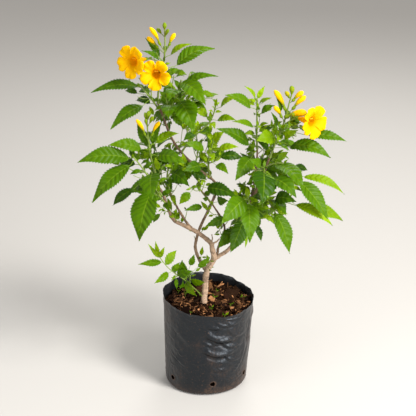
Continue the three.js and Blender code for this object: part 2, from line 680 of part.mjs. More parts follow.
// The direction that leaves a twig at an angle to it, turned round it from the highest side.
function offTwig(along, turn, spread) {
  const high = square(Math.abs(along.z) < 0.95 ? UP : new THREE.Vector3(0, -1, 0), along);
  const across = along.clone().cross(high);
  const out = high.multiplyScalar(Math.cos(turn)).addScaledVector(across, Math.sin(turn));
  return along.clone().multiplyScalar(Math.cos(spread)).addScaledVector(out, Math.sin(spread));
}

function sideTwigs(shoot, stem, draw) {
  const twigs = [];
  for (let i = 0; i < shoot.twigs; i += 1) {
    const share = mix(RULE.firstTwig, RULE.lastTwig, (i + draw()) / shoot.twigs);
    const turn = THREE.MathUtils.degToRad(i * RULE.goldenTurn + 90 * draw());
    const length = shoot.twigLength * mix(0.75, 1.15, draw());
    const foot = stem.getPoint(share);
    const along = offTwig(heading(stem, share), turn, THREE.MathUtils.degToRad(RULE.twigSpread));
    const middle = foot.clone().addScaledVector(along, 0.5 * length);
    const end = foot.clone().addScaledVector(along, length).addScaledVector(UP, RULE.twigLift * length);
    const twig = new THREE.CatmullRomCurve3([foot, middle, end], false, 'catmullrom', 0.5);
    if (isClear(shoot, curvePlaces(twig, 0.3))) {
      curvePlaces(twig, 0.3).forEach((at) => stand(shoot.name, 'twig', at, 1));
      twigs.push(twig);
    }
  }
  return twigs;
}

// Opposite pairs of leaves, each pair turned a quarter from the one below it.
function leafPairs(shoot, twig, draw) {
  const leaves = [];
  const firstTurn = 180 * draw();
  for (let pair = 1; pair <= shoot.pairs; pair += 1) {
    const share = pair / (shoot.pairs + 0.2);
    const root = twig.getPoint(share);
    const along = heading(twig, share);
    for (const opposite of [0, 180]) {
      const turn = THREE.MathUtils.degToRad(firstTurn + 90 * pair + opposite + 24 * (draw() - 0.5));
      const blade = shoot.leaf * mix(1, RULE.youngest, share) * mix(0.85, 1.15, draw());
      const way = offTwig(along, turn, THREE.MathUtils.degToRad(RULE.leafSpread));
      way.addScaledVector(UP, -RULE.leafDroop * (0.6 + 0.8 * draw())).normalize();
      const tip = root.clone().addScaledVector(way, blade * (1 + LEAF.stalk));
      const leaf = makeLeaf(root, tip, blade, blade * LEAF.ratio);
      const places = leafPlaces(leaf);
      if (isClear(shoot, places)) {
        places.forEach((at) => stand(shoot.name, 'leaf', at, 1));
        leaves.push(leaf);
      }
    }
  }
  return leaves;
}

// The leaves, buds and flowers that have a line of their own.
function placedPieces(shoot) {
  const stem = smoothRoute(shoot.stem);
  const tipOf = (row) => new THREE.Vector3(row[1], row[2], row[3]);
  const rooted = (rows, make) => (rows ?? []).map((row) => make(stem.getPoint(row[0]), tipOf(row), row[4], row[5]));
  return {
    stem,
    leaves: rooted(shoot.leaves, makeLeaf),
    buds: rooted(shoot.buds, (root, tip, length, wide) => ({ root, tip, length, wide })),
    flowers: rooted(shoot.flowers, (root, tip, right, up) => {
      const along = flowerAim(right, up);
      return { root, tip, along, start: tip.clone().addScaledVector(along, -FLOWER.length) };
    }),
  };
}

function standPlaced(shoot, placed) {
  curvePlaces(placed.stem).forEach((at) => stand(shoot.name, 'twig', at, 1));
  placed.leaves.forEach((leaf) => leafPlaces(leaf).forEach((at) => stand(shoot.name, 'leaf', at, 1)));
  for (const { root, tip } of [...placed.buds, ...placed.flowers]) {
    curvePlaces(new THREE.LineCurve3(root, tip), 0.3).forEach((at) => stand(shoot.name, 'leaf', at, 1));
  }
}

function massBody(shoot, placed, shells) {
  const draw = seededDraws(shoot.seed);
  const twigs = sideTwigs(shoot, placed.stem, draw);
  const stems = [placed.stem, ...twigs];
  const grown = stems.flatMap((twig) => leafPairs(shoot, twig, draw));
  const woody = (curve, steps) => tube(curve, (share) => mix(TWIG.radius, TWIG.tip, share), TWIG.sides, steps);
  const parts = [
    woody(placed.stem, 2 * TWIG.steps),
    ...twigs.map((twig) => woody(twig, TWIG.steps)),
    ...[...placed.leaves, ...grown].map(leafShape),
    ...placed.buds.map((bud) => budShape(bud.root, bud.tip, bud.length, bud.wide)),
    ...placed.flowers.flatMap((flower) => [flowerStalk(flower), flowerShape(flower)]),
  ];
  const joined = wasm.Manifold.union(parts.map(solid));
  return largest(solid(geometryOf(cutClear(joined, shells).simplify(SLACK))));
}

// The whole plant

const plant = new THREE.Group();

plant.add(meshOf(bagBody(), 'bag', COLOURS.film));
plant.add(meshOf(soilBody(), 'soil', COLOURS.soil));

const shells = [];
for (const limb of LIMBS) {
  const body = largest(cutClear(limbShape(limb), shells));
  plant.add(meshOf(body, limb.name, COLOURS.bark));
  shells.push(limbShape(limb, GAP));
  curvePlaces(smoothRoute(limb.route)).forEach((at) => stand(limb.name, 'limb', at, limb.foot));
}

const placedShoots = SHOOTS.map(placedPieces);
SHOOTS.forEach((shoot, i) => standPlaced(shoot, placedShoots[i]));
SHOOTS.forEach((shoot, i) => {
  plant.add(meshOf(massBody(shoot, placedShoots[i], shells), shoot.name, COLOURS.leaf));
});

export default plant;
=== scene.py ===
"""A potted yellow bells shrub in a black nursery bag.

Lengths in the tables are millimetres in the frame of the solids: +Z up, +X to the viewer's right,
+Y away from the viewer, and the origin in the middle of the bag's flat underside.
"""

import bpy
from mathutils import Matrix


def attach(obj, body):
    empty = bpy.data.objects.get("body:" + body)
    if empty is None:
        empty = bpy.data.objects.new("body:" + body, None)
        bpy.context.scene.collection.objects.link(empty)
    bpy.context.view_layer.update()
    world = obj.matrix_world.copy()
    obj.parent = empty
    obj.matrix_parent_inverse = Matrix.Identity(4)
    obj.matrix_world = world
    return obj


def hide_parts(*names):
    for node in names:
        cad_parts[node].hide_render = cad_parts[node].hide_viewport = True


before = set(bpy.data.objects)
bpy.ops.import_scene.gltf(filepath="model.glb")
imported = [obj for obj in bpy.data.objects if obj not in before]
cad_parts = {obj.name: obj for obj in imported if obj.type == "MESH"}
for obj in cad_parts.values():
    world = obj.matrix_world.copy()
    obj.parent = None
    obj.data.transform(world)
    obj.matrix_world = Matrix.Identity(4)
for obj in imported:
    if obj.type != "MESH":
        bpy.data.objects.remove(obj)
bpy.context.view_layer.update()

import functools
import math
from math import radians

import bpy
import mathutils
import numpy as np
from numpy.linalg import norm

bl_info = {
    "name": "Potted yellow bells",
    "version": (1, 0, 0),
    "blender": (4, 5, 0),
    "location": "View3D > Sidebar > Yellow bells",
    "description": "Builds a young flowering shrub in its nursery bag, piece by piece",
    "category": "Object",
}

MM = 0.001
BODY = "root"

# Sizes that the solids share

BAG = {
    "rim": 147,
    "base_radius": 65.5,
    "rim_radius": 72,
    "rim_shift": 5,
    "corner": 6,
    "hole_radius": 3.9,
    "holes": [(10, 21), (65, 21), (125, 19), (-150, 20), (-88, 12), (-51, 20)],
}
SOIL = {"level": 130, "flat_radius": 11, "bump": 2.2}
LEAF = {
    "fold": 0.13, "arch": 0.07, "bow": 0.065, "ratio": 0.42, "stalk": 0.2, "taper": 0.3,
    "taper_from": 0.45, "skew": 0.75, "fullness": 0.85,
}
FLOWER = {"throat": 7.5, "length": 38, "petals": 5}

# The rule that places twigs and leaves

RULE = dict(
    first_twig=0.15, last_twig=0.9, golden_turn=137.5, turn_play=90, twig_spread=52, twig_lift=0.2,
    twig_lengths=(0.75, 1.15), leaf_spread=62, leaf_droop=0.35, least_droop=0.6, droop_play=0.8,
    pair_play=24, youngest=0.5, blade_lengths=(0.85, 1.15), tone_rise=0.25, tone_middle=0.4,
    clearance=4.5, own_clearance=3.5, limb_clearance=3.5,
)

# The same rule carried on to finer twigs, which may grow closer together

FINE_RULE = dict(RULE, clearance=1.6, own_clearance=1.6, limb_clearance=1.5)
SPRIG_RULE = dict(FINE_RULE, limb_clearance=-3.0, clearance=1.2, anywhere=True)
FINE = dict(
    seed_step=100, twigs=4, twig_length=26, leaf_share=0.62, twig_pairs=2, twig_tone=0.15,
    stem_tone=0.1, pair_step=16, axil_leaf=11, axil_lengths=(0.6, 1.4), axil_tone=0.35, tip_leaves=4,
    tip_leaf=13, tip_lengths=(0.6, 1.5), tip_spread=(14, 42), tip_tone=0.45, sprig_lift=0.35,
    sprig_tone=0.3,
)

UP = np.array([0.0, 0.0, 1.0])
FRONT = np.array([0.0, -1.0, 0.0])

# A leaf's upper side faces away from the crown's core and towards the light

CROWN_CORE = np.array([0.0, 90.0, 335.0])
LIGHT = np.array([0.0, -0.5, 0.5])

# The camera's place, and how far it looks down, in degrees

CAMERA_PLACE = np.array([4.25, -1566.9, 926.9])
CAMERA_DIP = 22
SIGHT_SLOPE = math.tan(radians(CAMERA_DIP))

# Gaps in the crown where the sky shows: place across, height and radius, all seen along the
# camera's slope in the upright plane through the trunk

SKY_GAPS = [
    (-129, 460, 14), (-156, 438, 21), (-139, 415, 12), (-132, 346, 9), (-128, 282, 18), (-70, 271, 14),
    (-39, 240, 30), (-11, 274, 12), (0, 247, 9), (29, 335, 8), (41, 369, 9), (25, 412, 8), (52, 454, 10),
    (37, 490, 18), (94, 259, 8), (109, 232, 15), (78, 213, 18), (155, 240, 24), (211, 364, 24),
    (172, 366, 18), (157, 375, 12), (144, 378, 9), (186, 351, 11), (149, 272, 15), (140, 286, 10),
    (-116, 340, 8), (-16, 312, 9), (-106, 474, 8), (21, 346, 10), (124, 305, 6), (165, 277, 6),
    (64, 441, 8), (32, 451, 7), (-138, 325, 6), (90, 441, 5), (55, 393, 5), (-19, 337, 5),
    (-23, 307, 5), (-61, 348, 5), (-38, 498, 5), (-144, 319, 7), (-64, 419, 5), (-33, 412, 6),
    (-7, 492, 6), (-45, 424, 6), (90, 461, 5), (70, 437, 5), (6, 463, 6), (-9, 446, 5), (-20, 380, 5),
    (55, 424, 5), (31, 425, 6), (37, 461, 5), (80, 359, 4), (86, 386, 4), (112, 392, 5),
    (10, 361, 5), (-3, 397, 5), (-14, 377, 5), (31, 405, 7), (-124, 480, 6),
    (-45, 552, 5), (-99, 361, 5), (3, 320, 6), (142, 455, 5),
]

# Limbs: radius at the foot and at the tip, route of the middle line, and how old the wood looks at
# the foot and at the tip, from 0 for green to 1 for pale old bark

LIMBS = [
    dict(name="trunk", foot=5.2, tip=4.3, flare=2.2, age=(1.0, 0.85),
         route=[(-2, 0, 130.3), (-2, 0, 140), (0, 0, 156), (1, 0, 177), (4, 0, 190), (10, 1, 201),
             (15, 2, 211)]),
    dict(name="left_bough", foot=4.2, tip=1.7, age=(0.75, 0.35),
         route=[(14.5, 2, 209), (11, 0, 225), (8, -1, 236), (-10, -5, 254), (-34, -11, 270),
             (-48, -14, 280), (-56, -17, 299), (-64, -20, 325), (-71, -21, 338)]),
    dict(name="right_bough", foot=3.2, tip=1.6, age=(0.75, 0.2),
         route=[(12, 1, 205), (22, 1, 213), (34, 0, 222), (45, 0, 236), (54, 2, 261), (61, 4, 282),
             (72, 6, 305), (81, 7, 327), (90, 8, 351), (98, 8, 374)]),
    dict(name="left_stem", foot=2.5, tip=2, age=(0.6, 0.45),
         route=[(3, 0, 184), (-3, 2, 193), (-10, 6, 205), (-15, 9, 219), (-15, 9, 232), (-9, 9, 255),
             (6, 9, 290)]),
    dict(name="leader", foot=2, tip=1.5, age=(0.5, 0.25),
         route=[(6.2, 9, 290.5), (18, 12, 319), (14, 12, 333), (-8, 10, 352), (-35, 6, 381),
             (-51, 4, 407), (-64, 2, 444), (-70, 1, 461)]),
    dict(name="middle_stem", foot=2.1, tip=1.2, age=(0.5, 0.2),
         route=[(15, 2, 207), (19, 3, 217), (20, 1, 226), (25, -3, 243), (30, -7, 262), (24, -9, 281),
             (11, -11, 304), (-6, -15, 328)]),
    dict(name="left_side_bough", foot=2, tip=1.3, age=(0.55, 0.35),
         route=[(-22, -8, 264), (-31, -6, 276), (-45, 0, 299), (-55, 6, 321)]),
    dict(name="right_inner_bough", foot=1.8, tip=1.3, age=(0.4, 0.2),
         route=[(60, 4, 280), (69, 10, 298), (74, 14, 318), (76, 17, 342), (79, 18, 366), (79, 18, 385)]),
    dict(name="dead_stub", foot=1.1, tip=0.6, age=(0.75, 0.65),
         route=[(8, -1, 234), (11, -1, 242), (10, -1, 250)]),
    dict(name="short_twig", foot=1.4, tip=0.8, age=(0.75, 0.65),
         route=[(8, -1, 233), (17, -2, 238), (22, -4, 244)]),
]

# Masses of foliage. stem is the route of the mass's own stem. space is the middle and the reach of
# the room that its twigs and leaves may fill. tone runs from 0, dark old leaves, to 1, bright young
# ones; many listed tones also carry painted light and shade: they are raised on backlit leaves and on
# leaves that others shade, and lowered where leaves lie in shade. leaves: share of the stem, tip,
# length and width of the blade, tone. buds: share of the stem, tip, length, width. flowers: share of
# the stem, middle of the face, degrees that it looks to the right of the front, degrees that it looks
# up, radius.

SHOOTS = [
    dict(name="top_flower_shoot", seed=11, twigs=0, twig_length=0, pairs=4, leaf=34, tone=0.6,
         stem=[(-70, 1, 460), (-69, 0, 478), (-65, -2, 500), (-60, -4, 523), (-58, -5, 550),
             (-58, -6, 572)],
         space=[(-58, 0, 512), (46, 42, 36)],
         leaves=[(0.6, -87, 10, 557, 35, 10, 0.35), (0.6, -90, -20, 546, 32, 10, 0.4),
             (0.65, -20, -20, 556, 38, 12, 0.85), (0.48, 14, 20, 540, 62, 26, 0.4),
             (0.5, -26, -32, 513, 22, 10, 0.6)],
         buds=[(0.72, -79, -14, 578, 32, 6), (0.7, -84, -2, 561, 22, 6), (0.9, -70, 4, 572, 10, 5),
             (1, -58, -8, 583.5, 11, 5.5), (0.9, -52, -14, 575, 12, 4.5), (0.7, -43, -4, 567, 20, 6)],
         flowers=[(0.6, -106, -42, 534, -36, 4, 24.5), (0.54, -71, -50, 517, -10, 4, 22.5)]),
    dict(name="upper_right_shoot", seed=12, twigs=3, twig_length=34, pairs=2, leaf=42, tone=0.4,
         stem=[(-64, 2, 438), (-52, 0, 455), (-41, -4, 476), (-35, -8, 499)],
         space=[(-22, -2, 462), (56, 58, 54)],
         leaves=[(0.95, 19, -20, 508, 50, 13, 0.5), (0.95, 1, -55, 475, 62, 27, 0.55),
             (0.85, 13, 15, 466, 22, 11, 0.6), (0.65, -17, -50, 434, 54, 33, 0.3),
             (0.6, -18, -6, 420, 22, 10, 0.15), (0.8, -52, -55, 482, 42, 23, 0.45),
             (0.5, -52, -64, 457, 44, 25, 0.3)]),
    dict(name="upper_left_shoot", seed=13, twigs=2, twig_length=30, pairs=2, leaf=42, tone=0.3,
         stem=[(-69, 1, 452), (-78, -6, 468), (-87, -10, 481), (-95, -12, 492)],
         space=[(-100, 0, 466), (58, 44, 34)],
         leaves=[(0.95, -166, -24, 484, 70, 19, 0.3), (0.5, -120, 24, 473, 26, 10, 0.15),
             (0.35, -138, -40, 434, 60, 23, 0.2), (0.15, -106, 40, 454, 40, 13, 0.15)]),
    dict(name="left_flower_shoot", seed=14, twigs=2, twig_length=30, pairs=3, leaf=38, tone=0.6,
         stem=[(-71, -21, 338), (-72, -22, 351), (-78, -24, 373), (-82, -26, 397), (-84, -27, 421),
             (-85, -28, 440)],
         space=[(-84, -24, 396), (56, 44, 40)],
         leaves=[(0.6, -142, -40, 409, 50, 19, 0.65), (0.65, -39, -10, 418, 38, 14, 0.7),
             (0.55, -29, -58, 387, 48, 20, 0.4), (0.6, -101, -8, 437, 41, 13, 0.35),
             (0.6, -65, -8, 435, 36, 13, 0.35)],
         buds=[(0.72, -100, -38, 448, 31, 5.5), (0.72, -66, -36, 444, 28, 5.5),
             (1, -81, -28, 458, 13, 6.5), (0.92, -88, -26, 455, 11, 5), (0.92, -75, -38, 452, 13, 5.5),
             (0.88, -87, -32, 447, 10, 4.5)]),
    dict(name="left_outer_shoot", seed=15, twigs=3, twig_length=34, pairs=2, leaf=44, tone=0.35,
         stem=[(-65, -20, 322), (-81, -28, 350), (-95, -33, 374), (-106, -36, 390)],
         space=[(-118, -22, 362), (66, 54, 40)],
         leaves=[(0.95, -187, -50, 386, 76, 27, 0.45), (0.88, -168, -60, 328, 78, 27, 0.35),
             (0.4, -142, -8, 301, 48, 16, 0.25), (0.7, -131, 10, 365, 44, 17, 0.3),
             (0.2, -108, 8, 322, 26, 11, 0.15)]),
    dict(name="left_low_shoot", seed=16, twigs=1, twig_length=30, pairs=2, leaf=38, tone=0.35,
         stem=[(-58, -18, 306), (-66, -34, 324), (-75, -50, 350), (-78, -60, 375)],
         space=[(-84, -52, 326), (40, 54, 52)],
         leaves=[(0.95, -76, -106, 350, 54, 32, 0.3), (0.72, -98, -88, 277, 76, 39, 0.3),
             (0.0, -80, -4, 271, 22, 8, 0.35), (0.3, -107, -30, 319, 16, 9, 0.7)]),
    dict(name="left_inner_shoot", seed=17, twigs=2, twig_length=28, pairs=2, leaf=34, tone=0.3,
         stem=[(-54.5, 6, 320), (-58, 7, 338), (-56, 5, 358), (-52, 3, 372)],
         space=[(-50, 4, 346), (40, 42, 42)],
         leaves=[(0.6, -24, -38, 344, 44, 20, 0.2), (0.4, -26, -8, 336, 29, 12, 0.1),
             (0.9, 3, 4, 338, 28, 12, 0.1), (0.1, -44, -26, 309, 21, 9, 0.9),
             (0.55, -89, 35, 330, 34, 14, 0.15)]),
    dict(name="centre_shoot", seed=18, twigs=2, twig_length=26, pairs=3, leaf=30, tone=0.8,
         stem=[(6, 11, 343), (5, 5, 362), (6, 0, 378), (10, -4, 394), (12, -6, 407)],
         space=[(9, -4, 380), (40, 44, 46)],
         leaves=[(0.85, 28, -20, 423, 28, 15, 1.0), (0.6, -31, -20, 406, 36, 14, 0.6),
             (0.65, 50, -22, 400, 34, 12, 0.75), (0.4, 34, -38, 364, 30, 13, 0.45),
             (0.3, -31, -34, 367, 34, 19, 0.15), (0.5, 59, 2, 373, 36, 15, 0.15)]),
    dict(name="centre_top_shoot", seed=19, twigs=2, twig_length=26, pairs=3, leaf=30, tone=0.85,
         stem=[(-36, 6, 382), (-23, 8, 400), (-8, 8, 415), (6, 6, 429), (13, 4, 445), (16, 2, 459)],
         space=[(4, 6, 430), (48, 44, 42)],
         leaves=[(0.85, 43, -24, 475, 33, 14, 1.1), (0.65, 46, -20, 441, 34, 13, 0.8),
             (0.4, 9, -28, 423, 33, 15, 0.25), (0.4, -32, -30, 412, 30, 13, 0.15),
             (0.65, -16, 26, 447, 27, 13, 0.8), (0.6, 7, -16, 446, 22, 9, 0.8),
             (0.95, 16, -6, 468, 15, 5, 1.0)]),
    dict(name="middle_shoot", seed=20, twigs=1, twig_length=20, pairs=2, leaf=24, tone=0.6,
         stem=[(11, -11, 304), (-5.5, -15, 327), (-9, -17, 337), (-9, -20, 350)],
         space=[(4, -28, 326), (44, 36, 32)],
         leaves=[(0.8, -39, -30, 312, 24, 14, 0.65), (0.0, -31, -34, 303, 30, 11, 0.45),
             (0.67, 47, -52, 333, 52, 21, 0.15), (0.05, 34, -44, 323, 26, 15, 0.2),
             (0.12, -4, -26, 320, 16, 8, 0.5), (0.2, 8, -20, 331, 14, 9, 0.4)]),
    dict(name="centre_right_shoot", seed=21, twigs=3, twig_length=32, pairs=3, leaf=38, tone=0.75,
         stem=[(79, 18, 384), (78, 17, 406), (78, 15, 430), (77, 14, 462)],
         space=[(72, 10, 424), (54, 50, 52)],
         leaves=[(1, 59, 6, 486, 27, 8, 0.95), (1, 89, 20, 482, 22, 8, 0.95),
             (0.83, 29, -14, 478, 52, 20, 0.65), (0.75, 103, 0, 458, 27, 12, 0.6),
             (0.5, 41, -12, 437, 42, 11, 0.55), (0.0, 17, -16, 427, 66, 21, 0.3),
             (0.0, 46, -36, 353, 47, 25, 0.3), (0.9, 99, -2, 470, 22, 7, 0.9),
             (0.3, 102, -10, 426, 25, 10, 0.15)]),
    dict(name="right_flower_shoot", seed=22, twigs=3, twig_length=34, pairs=3, leaf=40, tone=0.6,
         stem=[(98, 8, 373), (105, 7, 394), (112, 6, 413), (119, 5, 434), (124, 4, 457), (128, 3, 474)],
         space=[(128, 6, 410), (56, 50, 42)],
         leaves=[(0.43, 212, -8, 404, 58, 17, 0.5), (0.25, 187, -20, 384, 62, 24, 0.55),
             (0.35, 76, -24, 411, 35, 24, 0.8), (0.1, 79, -6, 403, 24, 13, 0.1),
             (0.4, 98, -2, 448, 26, 9, 0.2), (0.55, 106, 6, 469, 24, 8, 0.3),
             (0.2, 138, -12, 423, 28, 11, 0.75), (0.15, 145, -10, 395, 20, 9, 0.15)],
         buds=[(0.7, 102, 4, 480, 36, 7.5), (0.9, 118, -4, 480, 14, 6), (1, 127, 3, 487, 13, 7),
             (0.82, 145, 0, 479, 22, 7), (0.66, 149, 4, 471, 28, 7.5), (0.58, 102, 2, 456, 22, 6.5),
             (0.64, 151, 0, 447, 34, 10)],
         flowers=[(0.5, 161, -28, 440, 42, 2, 25.5)]),
    dict(name="right_outer_shoot", seed=23, twigs=3, twig_length=36, pairs=2, leaf=44, tone=0.5,
         stem=[(93, 8, 359), (106, 2, 366), (120, -6, 367), (135, -12, 355)],
         space=[(140, -8, 348), (62, 58, 46)],
         leaves=[(0.3, 145, -56, 345, 70, 30, 0.4), (1, 211, -20, 325, 68, 14, 0.8),
             (0.85, 184, -45, 294, 70, 29, 0.5), (0.6, 158, 24, 347, 30, 11, 0.2)]),
    dict(name="right_low_shoot", seed=24, twigs=3, twig_length=34, pairs=2, leaf=40, tone=0.5,
         stem=[(74, 6, 311), (90, -4, 312), (106, -12, 311), (126, -20, 314)],
         space=[(122, -12, 298), (66, 50, 46)],
         leaves=[(1, 193, -36, 280, 64, 17, 1.05), (0.3, 135, -50, 324, 42, 21, 0.25),
             (0.55, 130, -36, 233, 66, 26, 0.3), (0.8, 215, 12, 267, 76, 20, 0.65),
             (0.6, 121, -50, 303, 44, 21, 0.15), (0.2, 71, -20, 320, 22, 10, 0.1)]),
    dict(name="right_front_shoot", seed=25, twigs=2, twig_length=26, pairs=2, leaf=34, tone=0.4,
         stem=[(88, 8, 345), (87, -8, 354), (88, -22, 367)],
         space=[(88, -40, 360), (42, 40, 40)],
         leaves=[(0.95, 84, -76, 331, 58, 40, 0.1), (0.95, 66, -44, 388, 30, 15, 0.3),
             (0.8, 134, -66, 338, 50, 26, 0.3)]),
    dict(name="lower_centre_shoot", seed=26, twigs=2, twig_length=28, pairs=2, leaf=34, tone=0.5,
         stem=[(62, 4, 284), (67, -10, 300), (66, -24, 315), (63, -36, 329)],
         space=[(56, -34, 292), (46, 46, 46)],
         leaves=[(0.95, 24, -80, 301, 58, 32, 0.5), (0.8, 67, -78, 271, 62, 30, 0.4),
             (0.2, 38, -48, 240, 54, 29, 0.25), (0.1, 21, -34, 241, 38, 23, 0.4),
             (0.3, 86, -20, 246, 28, 11, 0.2), (0.4, 1, -40, 280, 32, 15, 0.35),
             (0.2, 61, -30, 240, 20, 5, 0.9), (0.5, 104, -34, 283, 20, 8, 0.85),
             (0.9, 61, -30, 341, 18, 9, 0.85)]),
    dict(name="basal_shoot", seed=27, twigs=2, twig_length=16, pairs=3, leaf=19, tone=0.5, sparse=True,
         stem=[(-2, -1, 139), (-14, -10, 158), (-27, -20, 176), (-36, -24, 186), (-48, -28, 197),
             (-60, -32, 211), (-71, -35, 229)],
         space=[(-44, -26, 204), (50, 34, 46)],
         leaves=[(0.9, -102, -46, 219, 37, 13, 0.6), (0.72, -77, -56, 192, 31, 14, 0.5),
             (0.97, -87, -38, 249, 30, 9, 0.85), (1, -76, -34, 253, 26, 8, 0.95),
             (0.97, -62, -30, 242, 24, 7, 0.9), (0.85, -44, -14, 229, 32, 14, 0.6),
             (0.7, -39, -30, 216, 22, 11, 0.5), (0.6, -19, -40, 206, 32, 16, 0.35),
             (0.5, -36, -10, 211, 24, 12, 0.5), (0.35, 0, -42, 188, 28, 16, 0.55),
             (0.4, -14, -46, 166, 32, 18, 0.6), (0.45, -39, -44, 178, 20, 12, 0.2),
             (0.35, -33, -26, 214, 20, 10, 0.45), (0.42, -17, -16, 223, 19, 10, 0.5),
             (0.47, 8, -12, 217, 25, 12, 0.5), (0.45, -6, -14, 200, 11, 5, 0.6)]),
    dict(name="back_top_shoot", seed=31, twigs=6, twig_length=42, pairs=3, leaf=54, tone=0.35,
         stem=[(-66, 2, 448), (-60, 26, 446), (-50, 52, 444), (-40, 78, 450)],
         space=[(-40, 66, 440), (62, 72, 54)]),
    dict(name="back_middle_shoot", seed=32, twigs=6, twig_length=42, pairs=3, leaf=54, tone=0.35,
         stem=[(-15, 9, 359), (-15, 34, 356), (-13, 60, 356), (-10, 88, 362)],
         space=[(-16, 74, 354), (58, 74, 58)]),
    dict(name="back_left_shoot", seed=33, twigs=6, twig_length=42, pairs=3, leaf=54, tone=0.35,
         stem=[(-46, 0, 300), (-54, 20, 306), (-66, 42, 318), (-80, 66, 334), (-90, 88, 350)],
         space=[(-88, 64, 342), (66, 72, 58)]),
    dict(name="back_right_shoot", seed=34, twigs=6, twig_length=42, pairs=3, leaf=54, tone=0.35,
         stem=[(76, 17, 340), (80, 38, 344), (88, 62, 350), (98, 86, 360)],
         space=[(96, 72, 356), (64, 72, 62)]),
    dict(name="back_low_shoot", seed=35, twigs=6, twig_length=38, pairs=3, leaf=50, tone=0.35,
         stem=[(62, 4, 286), (64, 24, 278), (70, 48, 275), (78, 72, 278)],
         space=[(74, 58, 272), (64, 66, 46)]),
]

# Leaves are joined into three pieces: hidden at the back, and left or right of a line in front

SPLIT = -20


def leaf_piece(row):
    """Which piece of leaves a mass belongs to."""
    if row["name"].startswith("back"):
        return "back"
    return "left" if row["space"][0][0] < SPLIT else "right"


# Sprigs of small leaves on the bare limbs: share of the limb's route, turn round it and length

SPRIGS = {
    "left_bough": [(0.42, 200, 8), (0.5, 100, 8), (0.58, 300, 12), (0.64, 60, 9), (0.72, 170, 12),
        (0.84, 260, 18)],
    "left_side_bough": [(0.35, 40, 14), (0.7, 200, 16)],
    "middle_stem": [(0.48, 60, 12), (0.62, 60, 18), (0.75, 200, 18)],
    "left_stem": [(0.1, 350, 6), (0.3, 60, 5), (0.7, 240, 6), (0.78, 60, 8)],
    "leader": [(0.12, 300, 20), (0.3, 80, 22), (0.45, 220, 22), (0.6, 20, 22), (0.78, 150, 20)],
    "right_bough": [(0.35, 220, 16), (0.42, 40, 22), (0.6, 150, 24), (0.75, 300, 22)],
    "right_inner_bough": [(0.4, 30, 20), (0.7, 210, 20)],
    "trunk": [(0.62, 160, 7), (0.78, 20, 6)],
}
SPRIG_LEAF = 15

# Creases in the film: degrees to the right of the front, height, length, tilt in degrees, sag of
# the middle, depth and width

CREASES = [
    (9, 121, 26, -6, 3, 1.2, 3.9), (16, 99, 50, -13, 6, 2.5, 5.8), (13, 73, 52, -11, 6, 2.4, 5.8),
    (38, 104, 34, -24, 5, 1.2, 4.0), (16, 44, 24, -6, 3, 1.1, 3.7), (32, 134, 26, -4, 2, 1.0, 2.6),
    (23, 124, 30, -10, 3, 1.0, 2.8), (30, 86, 34, -20, 5, 1.3, 3.2), (67, 92, 60, 80, 4, 0.9, 4.4),
    (56, 62, 46, 72, 5, 0.8, 4.2), (35, 60, 30, -24, 4, 1.1, 3.0), (5, 92, 26, -4, 4, 0.9, 3.0),
    (-8, 58, 30, 12, 4, 0.6, 3.4), (-30, 96, 64, -38, 3, 0.5, 6.0), (-40, 60, 50, -48, 3, 0.25, 6.0),
    (-74, 88, 50, -82, 4, 0.4, 4.6), (95, 80, 50, 76, 5, 0.7, 4.4), (120, 104, 40, 20, 5, 1.2, 3.4),
    (150, 66, 46, -20, 6, 1.3, 3.6), (178, 96, 40, 14, 5, 1.2, 3.4), (-155, 60, 40, 24, 5, 1.2, 3.4),
    (-128, 98, 44, -18, 6, 1.3, 3.6), (-104, 50, 36, 30, 4, 1.0, 3.4), (84, 118, 34, 8, 4, 1.1, 3.0),
]

# Folds that pull the film in at the rim: degrees to the right of the front, width in degrees, depth

RIM_FOLDS = [
    (-160, 9, 3.0), (-141, 6, 2.2), (-118, 8, 2.6), (-84, 9, 1.2), (-46, 9, 0.6), (4, 10, 0.5),
    (48, 9, 0.8), (82, 10, 1.2), (101, 8, 2.0), (119, 7, 2.2), (138, 6, 3.2), (158, 7, 2.4),
    (178, 8, 2.8),
]


# Settings that a user would change


def colour(name, description, default):
    return bpy.props.FloatVectorProperty(
        name=name, description=description, default=default, size=3, min=0, max=1, subtype="COLOR")


def length(name, description, millimetres):
    return bpy.props.FloatProperty(
        name=name, description=description, default=millimetres * MM, min=0, subtype="DISTANCE",
        unit="LENGTH")


def share(name, description, default):
    return bpy.props.FloatProperty(
        name=name, description=description, default=default, min=0, max=1, subtype="FACTOR")


def amount(name, description, default):
    return bpy.props.FloatProperty(name=name, description=description, default=default, min=0)


def count(name, description, default):
    return bpy.props.IntProperty(name=name, description=description, default=default, min=0)


class BagSettings(bpy.types.PropertyGroup):
    film: colour("Film", "Colour of the clean film", (0.0035, 0.0045, 0.006))
    dust: colour("Dust", "Colour of the dry soil that clings to the film", (0.2, 0.1, 0.05))
    thickness: length("Film thickness", "Thickness of the film at the rim", 0.7)
    crumple: length("Crumple", "Depth of the small crumples in the film", 1.1)
    crease: amount("Creases", "How deep the large creases are, against their middling depth", 1.15)
    gloss: share("Roughness", "Roughness of the clean film", 0.3)


class SoilSettings(bpy.types.PropertyGroup):
    # The fine soil's near-black colour is partly its own and partly painted shade in the gaps between the
    # chips.
    earth_and_gap_shade: colour("Fine soil", "Colour of the fine soil between the chips", (0.004, 0.0016, 0.001))
    dark_chip: colour("Dark chips", "Colour of the darkest bark chips", (0.006, 0.0024, 0.0014))
    pale_chip: colour("Pale chips", "Colour of the palest bark chips", (0.54, 0.25, 0.105))
    chips: count("Chips", "Number of bark chips on the soil", 880)
    chip_size: length("Chip length", "Length of a middling bark chip", 5.6)
    sprouts: count("Sprouts", "Number of small green seedlings", 11)


